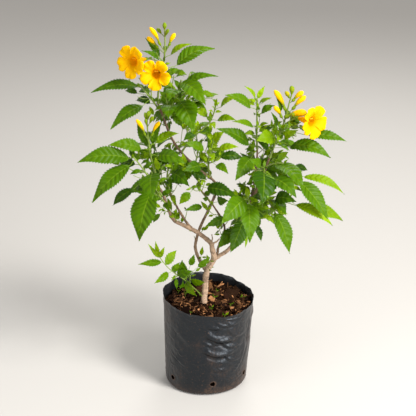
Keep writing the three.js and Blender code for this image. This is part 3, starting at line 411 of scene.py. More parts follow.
class BarkSettings(bpy.types.PropertyGroup):
    old: colour("Old bark", "Colour of the bark on the trunk", (0.55, 0.375, 0.25))
    young: colour("Young bark", "Colour of the bark on the upper boughs", (0.15, 0.09, 0.045))
    pore: colour("Pores", "Colour of the small pores in the bark", (0.08, 0.045, 0.028))
    relief: length("Relief", "Height of the bark's pores and ridges", 0.42)
    green: colour("Green twigs", "Colour of twigs and leaf stalks", (0.17, 0.24, 0.03))
    flushed: colour("Flushed twigs", "Colour of twigs where they turn woody", (0.07, 0.085, 0.02))


class LeafSettings(bpy.types.PropertyGroup):
    old: colour("Old leaves", "Colour of the darkest leaves", (0.019, 0.062, 0.0))
    mature: colour("Full-grown leaves", "Colour of most leaves", (0.066, 0.15, 0.0))
    young: colour("Young leaves", "Colour of the leaves at the tips", (0.25, 0.385, 0.002))
    vein: colour("Veins", "Colour of the ribs and side veins", (0.22, 0.34, 0.015))
    under: colour("Underside", "Colour of the leaves' undersides", (0.2, 0.34, 0.05))
    glow: share("Glow", "How much light passes through a leaf", 0.24)
    roughness: share("Roughness", "Roughness of a leaf's upper side", 0.36)
    tooth: length("Teeth", "Depth of the teeth along a leaf's edge", 2.2)


class BlossomSettings(bpy.types.PropertyGroup):
    petal: colour("Petals", "Colour of the open petals", (0.9, 0.55, 0.0))
    edge: colour("Petal edges", "Colour of the petals near their edges", (0.92, 0.61, 0.0))
    throat: colour("Throat", "Colour deep inside the trumpet", (1.0, 0.5, 0.0))
    bud: colour("Buds", "Colour of the buds that are about to open", (0.8, 0.46, 0.0))
    calyx: colour("Green buds", "Colour of the cups and the smallest buds", (0.16, 0.24, 0.008))
    ruffle: length("Ruffle", "Height of the ruffles along the petals' edges", 1.0)


class StageSettings(bpy.types.PropertyGroup):
    floor: colour("Floor", "Colour of the floor", (0.5, 0.485, 0.465))
    floor_size: bpy.props.FloatProperty(
        name="Floor size", description="Side of the square floor", default=16, min=1, unit="LENGTH")
    sky: amount("Surrounding light", "Strength of the even light from all around", 0.6)
    key: amount("Key light", "Power of the light from the upper right, in watts", 44)
    fill: amount("Fill light", "Power of the light from the upper left, in watts", 9)
    strip: amount("Side light", "Power of the low light from the right, in watts", 34)
    rim: amount("Back light", "Power of the light from behind, in watts", 16)


GROUPS = {
    "yellow_bells_bag": BagSettings,
    "yellow_bells_soil": SoilSettings,
    "yellow_bells_bark": BarkSettings,
    "yellow_bells_leaf": LeafSettings,
    "yellow_bells_blossom": BlossomSettings,
    "yellow_bells_stage": StageSettings,
}


# Vectors, curves and repeatable numbers


def unit(vector):
    return vector / norm(vector, axis=-1, keepdims=True)


def square(vector, direction):
    """The part of a vector that lies square to a direction, at length 1."""
    return unit(vector - np.sum(vector * direction, axis=-1, keepdims=True) * direction)


def mix(low, high, part):
    return low + (high - low) * part


def smoothstep(value, low, high):
    part = np.clip((value - low) / (high - low), 0, 1)
    return part * part * (3 - 2 * part)


WORD = 0xFFFFFFFF
STRIDE = 0x6D2B79F5


def times(first, second):
    return (first * second) & WORD


class Draws:
    """A repeatable stream of numbers from 0 to 1, mixed from a counter by shifts and products."""

    def __init__(self, seed):
        self.state = seed & WORD

    def __call__(self):
        self.state = (self.state + STRIDE) & WORD
        mixed = times(self.state ^ (self.state >> 15), self.state | 1)
        mixed ^= (mixed + times(mixed ^ (mixed >> 7), mixed | 61)) & WORD
        return ((mixed ^ (mixed >> 14)) & WORD) / (WORD + 1)

    def between(self, low, high):
        return mix(low, high, self())


class Route:
    """A smooth curve through a few points."""

    measures = 201
    spacing = 4
    glance = 0.001

    def __init__(self, points):
        knots = np.array(points, float)
        before = 2 * knots[0] - knots[1]
        after = 2 * knots[-1] - knots[-2]
        self.knots = np.vstack([before, knots, after])
        self.spans = len(knots) - 1

    def at(self, part):
        place = np.asarray(part, float) * self.spans
        span = np.minimum(np.floor(place).astype(int), self.spans - 1)
        step = (place - span)[..., None]
        p0, p1, p2, p3 = (self.knots[span + k] for k in range(4))
        t1 = 0.5 * (p2 - p0)
        t2 = 0.5 * (p3 - p1)
        square_part = -3 * p1 + 3 * p2 - 2 * t1 - t2
        cube_part = 2 * p1 - 2 * p2 + t1 + t2
        return p1 + t1 * step + square_part * step**2 + cube_part * step**3

    def heading(self, part):
        return unit(self.at(min(part + self.glance, 1)) - self.at(max(part - self.glance, 0)))

    def length(self):
        places = self.at(np.linspace(0, 1, self.measures))
        return float(norm(np.diff(places, axis=0), axis=1).sum())

    def places(self, start=0.0):
        steps = math.ceil(self.length() / self.spacing)
        return self.at(mix(start, 1, np.arange(steps + 1) / steps))


def straight(first, last):
    return Route([first, last])


def together(*values):
    """Joins values, each spread over the shape of all, into one array with a last axis of them."""
    return np.stack(np.broadcast_arrays(*values), axis=-1)


def turns_round(count):
    """Even turns once round, in radians."""
    return 2 * np.pi * np.arange(count) / count


class Lattice:
    """Smooth noise from 0 to 1 over square cells. Along the first axis it repeats."""

    def __init__(self, seed, period, rows=96):
        self.values = np.random.default_rng(seed).random((period, rows))

    def __call__(self, x, y):
        period, rows = self.values.shape
        column = np.floor(x).astype(int)
        row = np.floor(y).astype(int)
        u = smoothstep(x - column, 0, 1)
        v = smoothstep(y - row, 0, 1)
        corner = [self.values[(column + i) % period, (row + j) % rows] for i in (0, 1) for j in (0, 1)]
        return mix(mix(corner[0], corner[1], v), mix(corner[2], corner[3], v), u)


# Growth: the rule that places twigs and leaves

LIMB_PLACE, TWIG_PLACE, LEAF_PLACE = range(3)
LARGEST_LIMB = LIMBS[0]["foot"]
STEEP = 0.95
SPRIG_SEED = 700
MOST_PLACES = 300000

# Where a leaf feels for others: along its blade, and across it

FEELERS_ALONG = (np.arange(8) + 0.6) / 8
FEELERS_ACROSS = [-0.85, 0, 0.85]

# What stays in view of a placed leaf: shares of its length, and how far to each side of them as a
# share of its width

SHOWN_ALONG = np.linspace(0.05, 0.97, 10)
SHOWN_ACROSS = 0.45
SHOWN_ROUND_TIP = 4


class Crowd:
    """Places that later twigs and leaves keep clear of."""

    def __init__(self):
        self.rows = np.empty((MOST_PLACES, 6))
        self.count = 0
        self.shown = np.empty((0, 4))

    def stand(self, owner, kind, places, room=1.0):
        self.rows[self.count:self.count + len(places)] = together(*places.T, owner, kind, room)
        self.count += len(places)

    def show(self, places, reach):
        """Keeps the view from the camera onto places open, as far round them as the reach."""
        rows = np.column_stack([seen_from_camera(places), places[:, 1], reach])
        self.shown = np.vstack([self.shown, rows])

    def hides(self, places):
        """Whether places would stand in front of what is shown."""
        seen = seen_from_camera(places)
        off = np.hypot(seen[:, :1] - self.shown[:, 0], seen[:, 1:] - self.shown[:, 1])
        return bool(((off < self.shown[:, 3]) & (places[:, 1:2] < self.shown[:, 2])).any())

    def is_clear(self, owner, places, rule):
        reach = LARGEST_LIMB + rule["limb_clearance"]
        at = self.rows[:self.count, :3]
        inside = (at > places.min(axis=0) - reach) & (at < places.max(axis=0) + reach)
        near = np.flatnonzero(inside.all(axis=1))
        if len(near) == 0:
            return True
        gap = norm(places[:, None] - at[near], axis=2).min(axis=0)
        owners, kind, room = self.rows[near, 3:].T
        own = np.where(kind == LEAF_PLACE, rule["own_clearance"], 0)
        needed = np.where(owners == owner, own, rule["clearance"])
        needed = np.where(kind == LIMB_PLACE, room + rule["limb_clearance"], needed)
        return bool((gap >= needed).all())


def seen_from_camera(places):
    """Where the lines from the camera through places cross the upright plane through the trunk."""
    scale = -CAMERA_PLACE[1] / (places[:, 1] - CAMERA_PLACE[1])
    across = CAMERA_PLACE[0] + (places[:, 0] - CAMERA_PLACE[0]) * scale
    height = CAMERA_PLACE[2] + (places[:, 2] - CAMERA_PLACE[2]) * scale
    return np.column_stack([across, height])


def blade_shape(part):
    """Half the width of a blade at a share of its length, for a blade of half width 1."""
    return np.sin(np.pi * np.asarray(part, float) ** LEAF["skew"]) ** LEAF["fullness"]


class Leaf:
    """A leaf: where it roots, where its blade starts and ends, and the way its upper side faces."""

    def __init__(self, root, tip, blade, wide, tone):
        chord = tip - root
        self.root = root
        self.tip = tip
        self.along = unit(chord)
        self.base = tip - self.along * min(blade, norm(chord))
        outward = unit((tip + self.base) / 2 - CROWN_CORE)
        self.facing = square(outward + LIGHT, self.along)
        self.side = np.cross(self.along, self.facing)
        self.blade = norm(tip - self.base)
        self.wide = wide
        self.tone = tone

    def at(self, part, across, lift=0.0):
        taper = 1 - LEAF["taper"] * smoothstep(part, LEAF["taper_from"], 1)
        half = 0.5 * self.wide * blade_shape(part) * taper
        rise = self.blade * LEAF["arch"] * 4 * part * (1 - part)
        rise = rise + np.abs(across) * half * 2 * LEAF["fold"] + lift
        return (self.base + np.multiply.outer(self.blade * part, self.along)
                + np.multiply.outer(half * across, self.side) + np.multiply.outer(rise, self.facing))

    def bowed(self, part, across, lift=0.0):
        """A place on the leaf as it is shown, bowed up between its base and its tip."""
        up = UP - self.along * (UP @ self.along)
        bow = LEAF["bow"] * self.blade * 4 * np.asarray(part) * (1 - np.asarray(part))
        return self.at(part, across, lift) + np.multiply.outer(bow, up)

    def places(self):
        part, across = np.meshgrid(FEELERS_ALONG, FEELERS_ACROSS, indexing="ij")
        return self.at(part.ravel(), across.ravel())


def off_twig(along, turn, spread):
    """The direction that leaves a twig at an angle to it, turned round it from the highest side."""
    high = square(UP if abs(along[2]) < STEEP else FRONT, along)
    across = np.cross(along, high)
    out = high * math.cos(turn) + across * math.sin(turn)
    return along * math.cos(spread) + out * math.sin(spread)


def flower_aim(right, up):
    turn, rise = radians(right), radians(up)
    return np.array([math.sin(turn) * math.cos(rise), -math.cos(turn) * math.cos(rise), math.sin(rise)])


class Shoot:
    """One mass of foliage: its stem, side twigs, leaves, buds and flowers."""

    def __init__(self, number, row, crowd):
        self.number = number
        self.row = row
        self.crowd = crowd
        self.stem = Route(row["stem"])
        self.twigs = []
        self.fine_twigs = []
        self.leaves = [self.placed_leaf(*entry) for entry in row.get("leaves", [])]
        self.buds = [self.placed_bud(*entry) for entry in row.get("buds", [])]
        self.flowers = [self.placed_flower(*entry) for entry in row.get("flowers", [])]

    def placed_leaf(self, part, x, y, z, blade, wide, tone):
        return Leaf(self.stem.at(part), np.array([x, y, z], float), blade, wide, tone)

    def placed_bud(self, part, x, y, z, length, wide):
        return dict(root=self.stem.at(part), tip=np.array([x, y, z], float), length=length, wide=wide)

    def placed_flower(self, part, x, y, z, right, up, radius):
        along = flower_aim(right, up)
        face = np.array([x, y, z], float)
        return dict(root=self.stem.at(part), tip=face, along=along, radius=radius,
                    start=face - along * FLOWER["length"])

    def stand_placed(self):
        self.stand(TWIG_PLACE, self.stem.places())
        for leaf in self.leaves:
            self.stand(LEAF_PLACE, leaf.places())
            reach = SHOWN_ACROSS * leaf.wide * blade_shape(SHOWN_ALONG)
            self.crowd.show(leaf.bowed(SHOWN_ALONG, 0), reach)
        for piece in self.buds + self.flowers:
            way = straight(piece["root"], piece["tip"]).places(0.3)
            self.stand(LEAF_PLACE, way)
            self.crowd.show(way[-2:], [SHOWN_ROUND_TIP, piece.get("radius", SHOWN_ROUND_TIP)])

    def stand(self, kind, places):
        self.crowd.stand(self.number, kind, places)

    def may_fill(self, places, rule):
        """Whether places lie in the shoot's own room, leave the sky gaps open and touch nothing."""
        middle, reach = np.array(self.row["space"], float)
        off = (((places - middle) / reach) ** 2).sum(axis=1).max()
        if off > 1 and not rule.get("anywhere"):
            return False
        level = places[:, 2] + places[:, 1] * SIGHT_SLOPE
        for x, z, radius in SKY_GAPS:
            if (np.hypot(places[:, 0] - x, level - z) < radius).any():
                return False
        return self.crowd.is_clear(self.number, places, rule)

    def side_twigs(self, parent, number, length, draw, rule):
        twigs = []
        for i in range(number):
            part = mix(rule["first_twig"], rule["last_twig"], (i + draw()) / number)
            turn = radians(i * rule["golden_turn"] + rule["turn_play"] * draw())
            reach = length * mix(*rule["twig_lengths"], draw())
            foot = parent.at(part)
            along = off_twig(parent.heading(part), turn, radians(rule["twig_spread"]))
            middle = foot + along * 0.5 * reach
            end = foot + along * reach + UP * rule["twig_lift"] * reach
            twig = Route([foot, middle, end])
            places = twig.places(0.3)
            if self.may_fill(places, rule):
                self.stand(TWIG_PLACE, places)
                twigs.append(twig)
        return twigs

    def leaf_pairs(self, twig, pairs, size, draw, rule, tone_shift=0.0):
        """Opposite pairs of leaves, each pair turned a quarter from the one below it."""
        first_turn = 180 * draw()
        for pair in range(1, pairs + 1):
            part = pair / (pairs + 0.2)
            root = twig.at(part)
            along = twig.heading(part)
            for opposite in (0, 180):
                play = rule["pair_play"] * (draw() - 0.5)
                turn = radians(first_turn + 90 * pair + opposite + play)
                blade = size * mix(1, rule["youngest"], part) * mix(*rule["blade_lengths"], draw())
                way = off_twig(along, turn, radians(rule["leaf_spread"]))
                droop = rule["least_droop"] + rule["droop_play"] * draw()
                way = unit(way - UP * rule["leaf_droop"] * droop)
                rise = rule["tone_rise"] * (part - rule["tone_middle"])
                tone = self.row["tone"] + rise + tone_shift
                self.try_leaf(root, way, blade, tone, rule)

    def try_leaf(self, root, way, blade, tone, rule):
        tip = root + way * blade * (1 + LEAF["stalk"])
        leaf = Leaf(root, tip, blade, blade * LEAF["ratio"], tone)
        places = leaf.places()
        if self.may_fill(places, rule) and not self.crowd.hides(places):
            self.stand(LEAF_PLACE, places)
            self.leaves.append(leaf)

    def grow(self):
        """Twigs and leaves by the rule, in the order of its draws."""
        draw = Draws(self.row["seed"])
        self.twigs = self.side_twigs(self.stem, self.row["twigs"], self.row["twig_length"], draw, RULE)
        for twig in [self.stem] + self.twigs:
            self.leaf_pairs(twig, self.row["pairs"], self.row["leaf"], draw, RULE)

    def grow_finer(self):
        """The rule carried on: finer twigs, small leaves at the feet of large ones and at tips."""
        if self.row.get("sparse"):
            return
        draw = Draws(self.row["seed"] + FINE["seed_step"])
        grown = list(self.leaves)
        woody = [self.stem] + self.twigs
        for parent in woody:
            number = FINE["twigs"] if parent is self.stem else FINE["twigs"] // 2
            self.fine_twigs += self.side_twigs(parent, number, FINE["twig_length"], draw, FINE_RULE)
        size = FINE["leaf_share"] * self.row["leaf"]
        for twig in self.fine_twigs:
            self.leaf_pairs(twig, FINE["twig_pairs"], size, draw, FINE_RULE, FINE["twig_tone"])
        for twig in woody:
            pairs = max(FINE["twig_pairs"], round(twig.length() / FINE["pair_step"]))
            self.leaf_pairs(twig, pairs, size, draw, FINE_RULE, FINE["stem_tone"])
        for leaf in grown:
            self.axil_leaves(leaf, draw)
        if not self.buds:
            for twig in woody + self.fine_twigs:
                self.tip_leaves(twig, draw)

    def axil_leaves(self, leaf, draw):
        """A pair of young leaflets at the foot of a leaf."""
        for way_round in (-1, 1):
            blade = FINE["axil_leaf"] * mix(*FINE["axil_lengths"], draw())
            out = leaf.along * 0.5 + leaf.facing * 0.7 + leaf.side * way_round * mix(0.2, 0.7, draw())
            tone = leaf.tone + FINE["axil_tone"]
            self.try_leaf(leaf.root, unit(out + UP * 0.3), blade, tone, FINE_RULE)

    def tip_leaves(self, twig, draw, rule=FINE_RULE):
        """A tuft of young leaves that still stand up at a twig's tip."""
        along = twig.heading(1)
        first_turn = 360 * draw()
        tone = self.row["tone"] + FINE["tip_tone"]
        for i in range(FINE["tip_leaves"]):
            turn = radians(first_turn + 90 * i)
            way = off_twig(along, turn, radians(mix(*FINE["tip_spread"], draw())))
            blade = FINE["tip_leaf"] * mix(*FINE["tip_lengths"], draw())
            self.try_leaf(twig.at(1), unit(way + UP * 0.2), blade, tone, rule)


@functools.lru_cache(maxsize=1)
def grown_plant():
    """Every shoot with its twigs and leaves, worked out once for all pieces."""
    crowd = Crowd()
    for limb in LIMBS:
        crowd.stand(-1, LIMB_PLACE, Route(limb["route"]).places(), limb["foot"])
    shoots = [Shoot(number, row, crowd) for number, row in enumerate(SHOOTS)]
    for shoot in shoots:
        shoot.stand_placed()
    for shoot in shoots:
        shoot.grow()
    for shoot in shoots:
        shoot.grow_finer()
    grow_sprigs(shoots)
    return {shoot.row["name"]: shoot for shoot in shoots}


def grow_sprigs(shoots):
    """Short leafy sprigs on the limbs. Each belongs to the nearest shoot that carries leaves."""
    routes = {limb["name"]: Route(limb["route"]) for limb in LIMBS}
    sprigs = [(name, *sprig) for name, group in SPRIGS.items() for sprig in group]
    for number, (name, part, turn, reach) in enumerate(sprigs):
        route = routes[name]
        draw = Draws(SPRIG_SEED + number)
        foot = route.at(part)
        shoot = min(shoots, key=lambda one: norm(one.stem.at(0.0) - foot))
        way = off_twig(route.heading(part), radians(turn), radians(RULE["twig_spread"]))
        end = foot + way * reach + UP * FINE["sprig_lift"] * reach
        twig = Route([foot, foot + way * 0.5 * reach, end])
        shoot.fine_twigs.append(twig)
        shoot.leaf_pairs(twig, FINE["twig_pairs"], SPRIG_LEAF, draw, SPRIG_RULE, FINE["sprig_tone"])
        shoot.tip_leaves(twig, draw, SPRIG_RULE)


# Meshes

SHARP_TURN = radians(80)


class Sheaf:
    """Corners and faces of many small shapes that become one mesh, with values on the corners."""

    def __init__(self, *attributes):
        self.corners = []
        self.faces = []
        self.values = {name: [] for name in attributes}
        self.count = 0

    def add(self, corners, faces, **values):
        corners = np.asarray(corners, float).reshape(-1, 3)
        self.corners.append(corners)
        self.faces.extend((np.asarray(face) + self.count).tolist() for face in faces)
        for name, rows in self.values.items():
            rows.append(np.broadcast_to(np.asarray(values[name], float), (len(corners), 3)))
        self.count += len(corners)

    def build(self, name):
        """Turns the sheaf into an object, in metres."""
        mesh = bpy.data.meshes.new(name)
        mesh.from_pydata(np.concatenate(self.corners) * MM, [], self.faces)
        if mesh.validate(verbose=False):
            raise RuntimeError(f"{name} has faces that aren't valid")
        mesh.shade_smooth()
        mesh.set_sharp_from_angle(angle=SHARP_TURN)
        for label, rows in self.values.items():
            layer = mesh.attributes.new(label, "FLOAT_VECTOR", "POINT")
            layer.data.foreach_set("vector", np.concatenate(rows).ravel())
        piece = bpy.data.objects.new(name, mesh)
        bpy.context.scene.collection.objects.link(piece)
        return piece


def grid_faces(rows, columns, closed):
    """Faces of a grid of corners. A closed grid joins its last column to its first."""
    faces = []
    for i in range(rows - 1):
        for j in range(columns if closed else columns - 1):
            ahead = (j + 1) % columns
            low = i * columns
            high = low + columns
            faces.append((low + j, low + ahead, high + ahead, high + j))
    return faces


def skin_faces(rows, columns):
    """Faces of a closed skin: its rings, then fans to one corner at each end."""
    count = rows * columns
    top = count - columns
    faces = grid_faces(rows, columns, True)
    faces += [(count, (j + 1) % columns, j) for j in range(columns)]
    faces += [(count + 1, top + j, top + (j + 1) % columns) for j in range(columns)]
    return faces


def ring_frames(route, shares):
    """At each share of a route: the place, and two directions square to it that never twist."""
    side = None
    frames = []
    for part in shares:
        along = route.heading(part)
        if side is None:
            leaning = -FRONT if abs(along[1]) < 0.8 else np.array([1.0, 0, 0])
            side = np.cross(leaning, along)
        side = square(side, along)
        frames.append((route.at(part), side, np.cross(along, side)))
    return [np.array(column) for column in zip(*frames)]


def add_tube(sheaf, route, radius, sides, steps, **values):
    """Adds a round bar along a route, closed at both ends. radius(shares, turns) is in millimetres,
    and a value may be a function of the shares."""
    shares = np.linspace(0, 1, steps + 1)
    turns = turns_round(sides)
    at, side, front = ring_frames(route, shares)
    size = np.broadcast_to(radius(shares[:, None], turns[None, :]), (steps + 1, sides))[..., None]
    ring = np.cos(turns)[None, :, None] * side[:, None] + np.sin(turns)[None, :, None] * front[:, None]
    corners = (at[:, None] + ring * size).reshape(-1, 3)
    corners = np.vstack([corners, at[:1], at[-1:]])
    part = np.append(np.repeat(shares, sides), [shares[0], shares[-1]])
    values = {name: value(part) if callable(value) else value for name, value in values.items()}
    sheaf.add(corners, skin_faces(steps + 1, sides), **values)


# Leaves

LEAF_THICKNESS = 0.5
THINNER_BELOW = 30
VEIN_SLANT = 0.4
TEETH_A_VEIN = 2
TOOTH_STEP = 4.3
LARGE_LEAF = 26
MIDDLE_LEAF = 13
LEAF_SEED = 500


def leaf_grid(leaf):
    """How finely a leaf is made: the number of teeth along an edge, and its columns."""
    if leaf.blade > LARGE_LEAF:
        return round(leaf.blade / TOOTH_STEP), np.array([-1, -0.64, -0.3, 0, 0.3, 0.64, 1])
    if leaf.blade > MIDDLE_LEAF:
        return 6, np.array([-1, -0.5, 0, 0.5, 1])
    return 4, np.array([-1, 0, 1])


def leaf_corners(leaf, draw, tooth):
    """The rows of corners of a leaf's upper side. Rows lie along the side veins and between them."""
    teeth, columns = leaf_grid(leaf)
    index = np.arange(2 * teeth - 1)
    phase = index / 2
    on_vein = index % 2 == 0
    row = (phase + np.where(on_vein, 0.72, 0.5)) / teeth
    edge = np.abs(columns) == 1
    slant = min(0.22, VEIN_SLANT * leaf.wide / leaf.blade)
    free = 4 * row * (1 - row)
    share = row[:, None] - slant * free[:, None] * (1 - np.abs(columns))[None]
    share = share + np.where(on_vein[:, None] & edge[None], 0.2 / teeth, 0)
    share = np.minimum(share, 1 - 0.05 / teeth)
    half = leaf.wide / 2
    depth = min(0.24, tooth / half)
    outline = np.where(on_vein, 1 + depth / 2, 1 - depth / 2)[:, None]
    across = columns[None] * np.where(edge[None], outline, 1)
    quilt = -0.03 * half * np.cos(2 * np.pi * phase / TEETH_A_VEIN)[:, None]
    lift = quilt * 4 * np.abs(columns) * (1 - np.abs(columns))
    lift = lift - 0.1 * half * np.abs(across) ** 4 * np.sin(np.pi * share)
    wave = np.sin(2 * np.pi * (1.6 * share + draw()) + 1.2 * np.sign(across))
    lift = lift + draw.between(0.02, 0.09) * half * wave * np.abs(across)
    lift = lift - draw.between(0, 0.07) * leaf.blade * share**3
    bend = draw.between(-0.035, 0.035) * leaf.blade * 4 * share * (1 - share)
    corners = leaf.bowed(share, across, lift) + bend[..., None] * leaf.side
    return corners, share, columns, phase / TEETH_A_VEIN


def add_leaf(sheaf, leaf, draw, tooth):
    """A thin closed blade: a quilted upper side, and an underside that meets it along the teeth."""
    top, share, columns, phase = leaf_corners(leaf, draw, tooth)
    rows, wide = top.shape[:2]
    middle = wide // 2
    thick = LEAF_THICKNESS * min(1, leaf.blade / THINNER_BELOW)
    under = top[:, middle] - leaf.facing * thick
    count = rows * wide
    base, tip, low = count, count + 1, count + 2
    corners = np.vstack([top.reshape(-1, 3), leaf.base[None], leaf.tip[None], under])

    faces = grid_faces(rows, wide, False)
    last = (rows - 1) * wide
    faces += [(base, j + 1, j) for j in range(wide - 1)]
    faces += [(last + j, last + j + 1, tip) for j in range(wide - 1)]
    for i in range(rows - 1):
        left, right = i * wide, i * wide + wide - 1
        faces.append((left, left + wide, low + i + 1, low + i))
        faces.append((low + i, low + i + 1, right + wide, right))
    faces += [(base, 0, low), (base, low, wide - 1)]
    faces += [(last, tip, low + rows - 1), (low + rows - 1, tip, last + wide - 1)]

    side = np.where(np.abs(columns) == 1, 0.5, 1.0)
    blade = together(phase[:, None], columns, side).reshape(-1, 3)
    ends = [(phase[0] - 0.3, 0, 0.5), (phase[-1] + 0.3, 0, 0.5)]
    values = np.vstack([blade, ends, together(phase, 0, 0)])
    tone = together(leaf.tone, draw(), np.concatenate([share.ravel(), [0, 1], share[:, middle]]))
    sheaf.add(corners, faces, blade=values, tone=tone)
    add_stalk(sheaf, leaf, thick, tone[0])


def add_stalk(sheaf, leaf, thick, tone):
    """The leaf stalk, which runs on as the rib under the blade."""
    size = 0.3 + 0.3 * min(1, leaf.blade / 45)
    points = [leaf.root]
    reach = norm(leaf.base - leaf.root)
    if reach > 4:
        points.append((leaf.root + leaf.base) / 2 + leaf.facing * 0.04 * leaf.blade)
    if reach > 1.5:
        points.append(leaf.base)
    points += [leaf.bowed(part, 0, -0.8 * thick) for part in (0.3, 0.7)]
    steps = 9 if leaf.blade > MIDDLE_LEAF else 4
    add_tube(sheaf, Route(points), lambda share, turn: size * (1 - 0.75 * share), 5, steps,
             blade=(0.5, 0, 0.2), tone=(tone[0], tone[1], 0.1))


def leaf_sheaf(names, tooth):
    sheaf = Sheaf("blade", "tone")
    for name in names:
        shoot = grown_plant()[name]
        draw = Draws(shoot.row["seed"] + LEAF_SEED)
        for leaf in shoot.leaves:
            add_leaf(sheaf, leaf, draw, tooth)
    return sheaf


# Twigs and boughs

# Radius of green twigs at the foot and at the tip, and of the stalks of flowers and buds

TWIG_SIZES = {"stem": (1.45, 0.85), "twig": (1.0, 0.6), "fine": (0.65, 0.35)}
FLOWER_STALK, BUD_STALK = 0.75, 0.55

# Steps of the mesh along a limb and between two leaf scars, how deep the trunk's foot is sunk, the
# foot from which a limb has more sides, and the number of pores for its length times its foot

BARK_STEP, SCAR_STEP = 0.8, 17
SUNK = 6
THICK_LIMB = 3
PORES = 0.22


def swelling(share, count, height):
    """Small swellings at even steps along a twig."""
    return height * np.exp(-(((share * count + 0.5) % 1 - 0.5) / 0.12) ** 2)


def add_twig(sheaf, route, kind, pairs, age):
    foot, tip = TWIG_SIZES[kind]
    length = route.length()

    def radius(share, turn):
        collar = 0.35 * foot * np.exp(-share * length / 2.5)
        swell = 1 + swelling(share * (pairs + 0.2) / pairs, pairs, 0.22)
        ridges = 1 + 0.05 * np.cos(4 * turn)
        return (mix(foot, tip, share) * swell + collar) * ridges

    def wood(share):
        return together(age * (1 - share) ** 2, share, length)

    add_tube(sheaf, route, radius, 8, max(6, round(length / 2)), wood=wood)


def twig_sheaf():
    sheaf = Sheaf("wood")
    for shoot in grown_plant().values():
        pairs = max(shoot.row["pairs"], 1)
        add_twig(sheaf, shoot.stem, "twig" if shoot.row.get("sparse") else "stem", pairs, 0.35)
        for twig in shoot.twigs:
            add_twig(sheaf, twig, "twig", pairs, 0.2)
        for twig in shoot.fine_twigs:
            add_twig(sheaf, twig, "fine", 2, 0.1)
        for piece in shoot.flowers:
            add_stem_to(sheaf, piece["root"], piece["start"], piece["along"], FLOWER_STALK)
        for bud in shoot.buds:
            along = unit(bud["tip"] - bud["root"])
            add_stem_to(sheaf, bud["root"], bud["tip"] - along * bud["length"], along, BUD_STALK)
    return sheaf


def add_stem_to(sheaf, root, end, along, size):
    """A thin stalk that reaches the foot of a bud or flower along its own line."""
    chord = norm(end - root)
    if chord < 1:
        return
    middle = (root + end) / 2 - along * 0.1 * chord
    route = Route([root, middle, end + along * 0.5])
    add_tube(sheaf, route, lambda share, turn: size + 0.25 * share**6, 6, 10, wood=(0.05, 0.5, chord))


def limb_route(limb):
    """The limb's route, with its foot sunk in the soil or in the limb that carries it."""
    points = np.array(limb["route"], float)
    if limb["name"] == "trunk":
        return Route(np.vstack([points[0] - UP * SUNK, points]))
    return Route(points)


def bark_relief(limb, route, share, turn, relief):
    """Radius and pore mask over a limb: long ridges, scars where leaves stood, and raised pores."""
    length = route.length()
    draws = np.random.default_rng(round(limb["foot"] * 100) + len(limb["name"]))
    ridge = Lattice(draws.integers(1000), 8)(turn * 8 / (2 * np.pi), share * length / 14 + 3)
    grain = Lattice(draws.integers(1000), 24)(turn * 24 / (2 * np.pi), share * length / 2.2 + 3)
    size = mix(limb["foot"], limb["tip"], share) + limb.get("flare", 0) * np.exp(-share * 14)
    scars = max(2, round(length / SCAR_STEP))
    sides = 0.35 + 0.65 * np.cos(turn + (share * scars // 1) * np.pi / 2) ** 2
    size = size * (1 + swelling(share, scars, 0.55 / limb["foot"]) * sides + 0.22 * (ridge - 0.5))
    size = size + 0.9 * relief * (grain - 0.5)
    size = size + 0.3 * limb["foot"] * np.exp(-share * length / 5)
    pores = np.zeros(np.broadcast(share, turn).shape)
    for _ in range(round(length * limb["foot"] * PORES)):
        at, round_at = draws.random(), 2 * np.pi * draws.random()
        wide, tall = draws.uniform(0.6, 1.5), draws.uniform(0.3, 0.55)
        off = (turn - round_at + np.pi) % (2 * np.pi) - np.pi
        bump = np.exp(-((share - at) * length / tall) ** 2 - (off * limb["foot"] / wide) ** 2)
        pores = np.maximum(pores, bump)
    off = (share * scars + 0.42 + 0.06 * np.sin(3 * turn + 5 * share)) % 1 - 0.5
    ring = np.exp(-(off * length / scars / 0.7) ** 2) * (0.5 + 0.5 * np.sin(2 * turn + 17 * share))
    size = size + relief * (pores - 0.8 * ring)
    return size, np.maximum(pores, 0.7 * ring)


def bark_sheaf(relief):
    sheaf = Sheaf("wood")
    for limb in LIMBS:
        route = limb_route(limb)
        length = route.length()
        steps = round(length / BARK_STEP)
        sides = 32 if limb["foot"] > THICK_LIMB else 20
        share = np.linspace(0, 1, steps + 1)[:, None]
        turn = turns_round(sides)[None]
        size, pores = bark_relief(limb, route, share, turn, relief)
        wood = together(mix(*limb["age"], share), pores, share * length).reshape(-1, 3)
        wood = np.vstack([wood, wood[:1], wood[-1:]])
        add_tube(sheaf, route, lambda *_, size=size: size, sides, steps, wood=wood)
    return sheaf


# Flowers and buds

TUBE_RADIUS = 1.7
PETAL_SKIN = 0.55
CLEFT_SHARE = 0.6
TUBE_SHARE = 0.8
PETAL_COLUMNS = 100
FLOWER_SEED = 900

# Stamens: place across and reach. The last is the style, which has no lobe.

STAMENS = ((-3.2, 27), (-1.3, 30), (1.3, 30), (3.2, 27), (0, 34))
STAMEN_FOOT = 8
STAMEN_RADIUS = 0.32
LOBE = 1.4

# What the bloom attribute starts with off the trumpets, where it runs from -1 to 1

STAMEN_PART, CUP_PART, BUD_PART = -2, -3, -4


def petal_reach(turn, radius):
    """How far the five round petals reach from the middle, by the turn from the topmost notch."""
    half = np.pi / FLOWER["petals"]
    off = np.abs(turn % (2 * half) - half) / half
    return radius * mix(CLEFT_SHARE, 1, np.sqrt(np.clip(1 - off**3.6, 0, 1)))


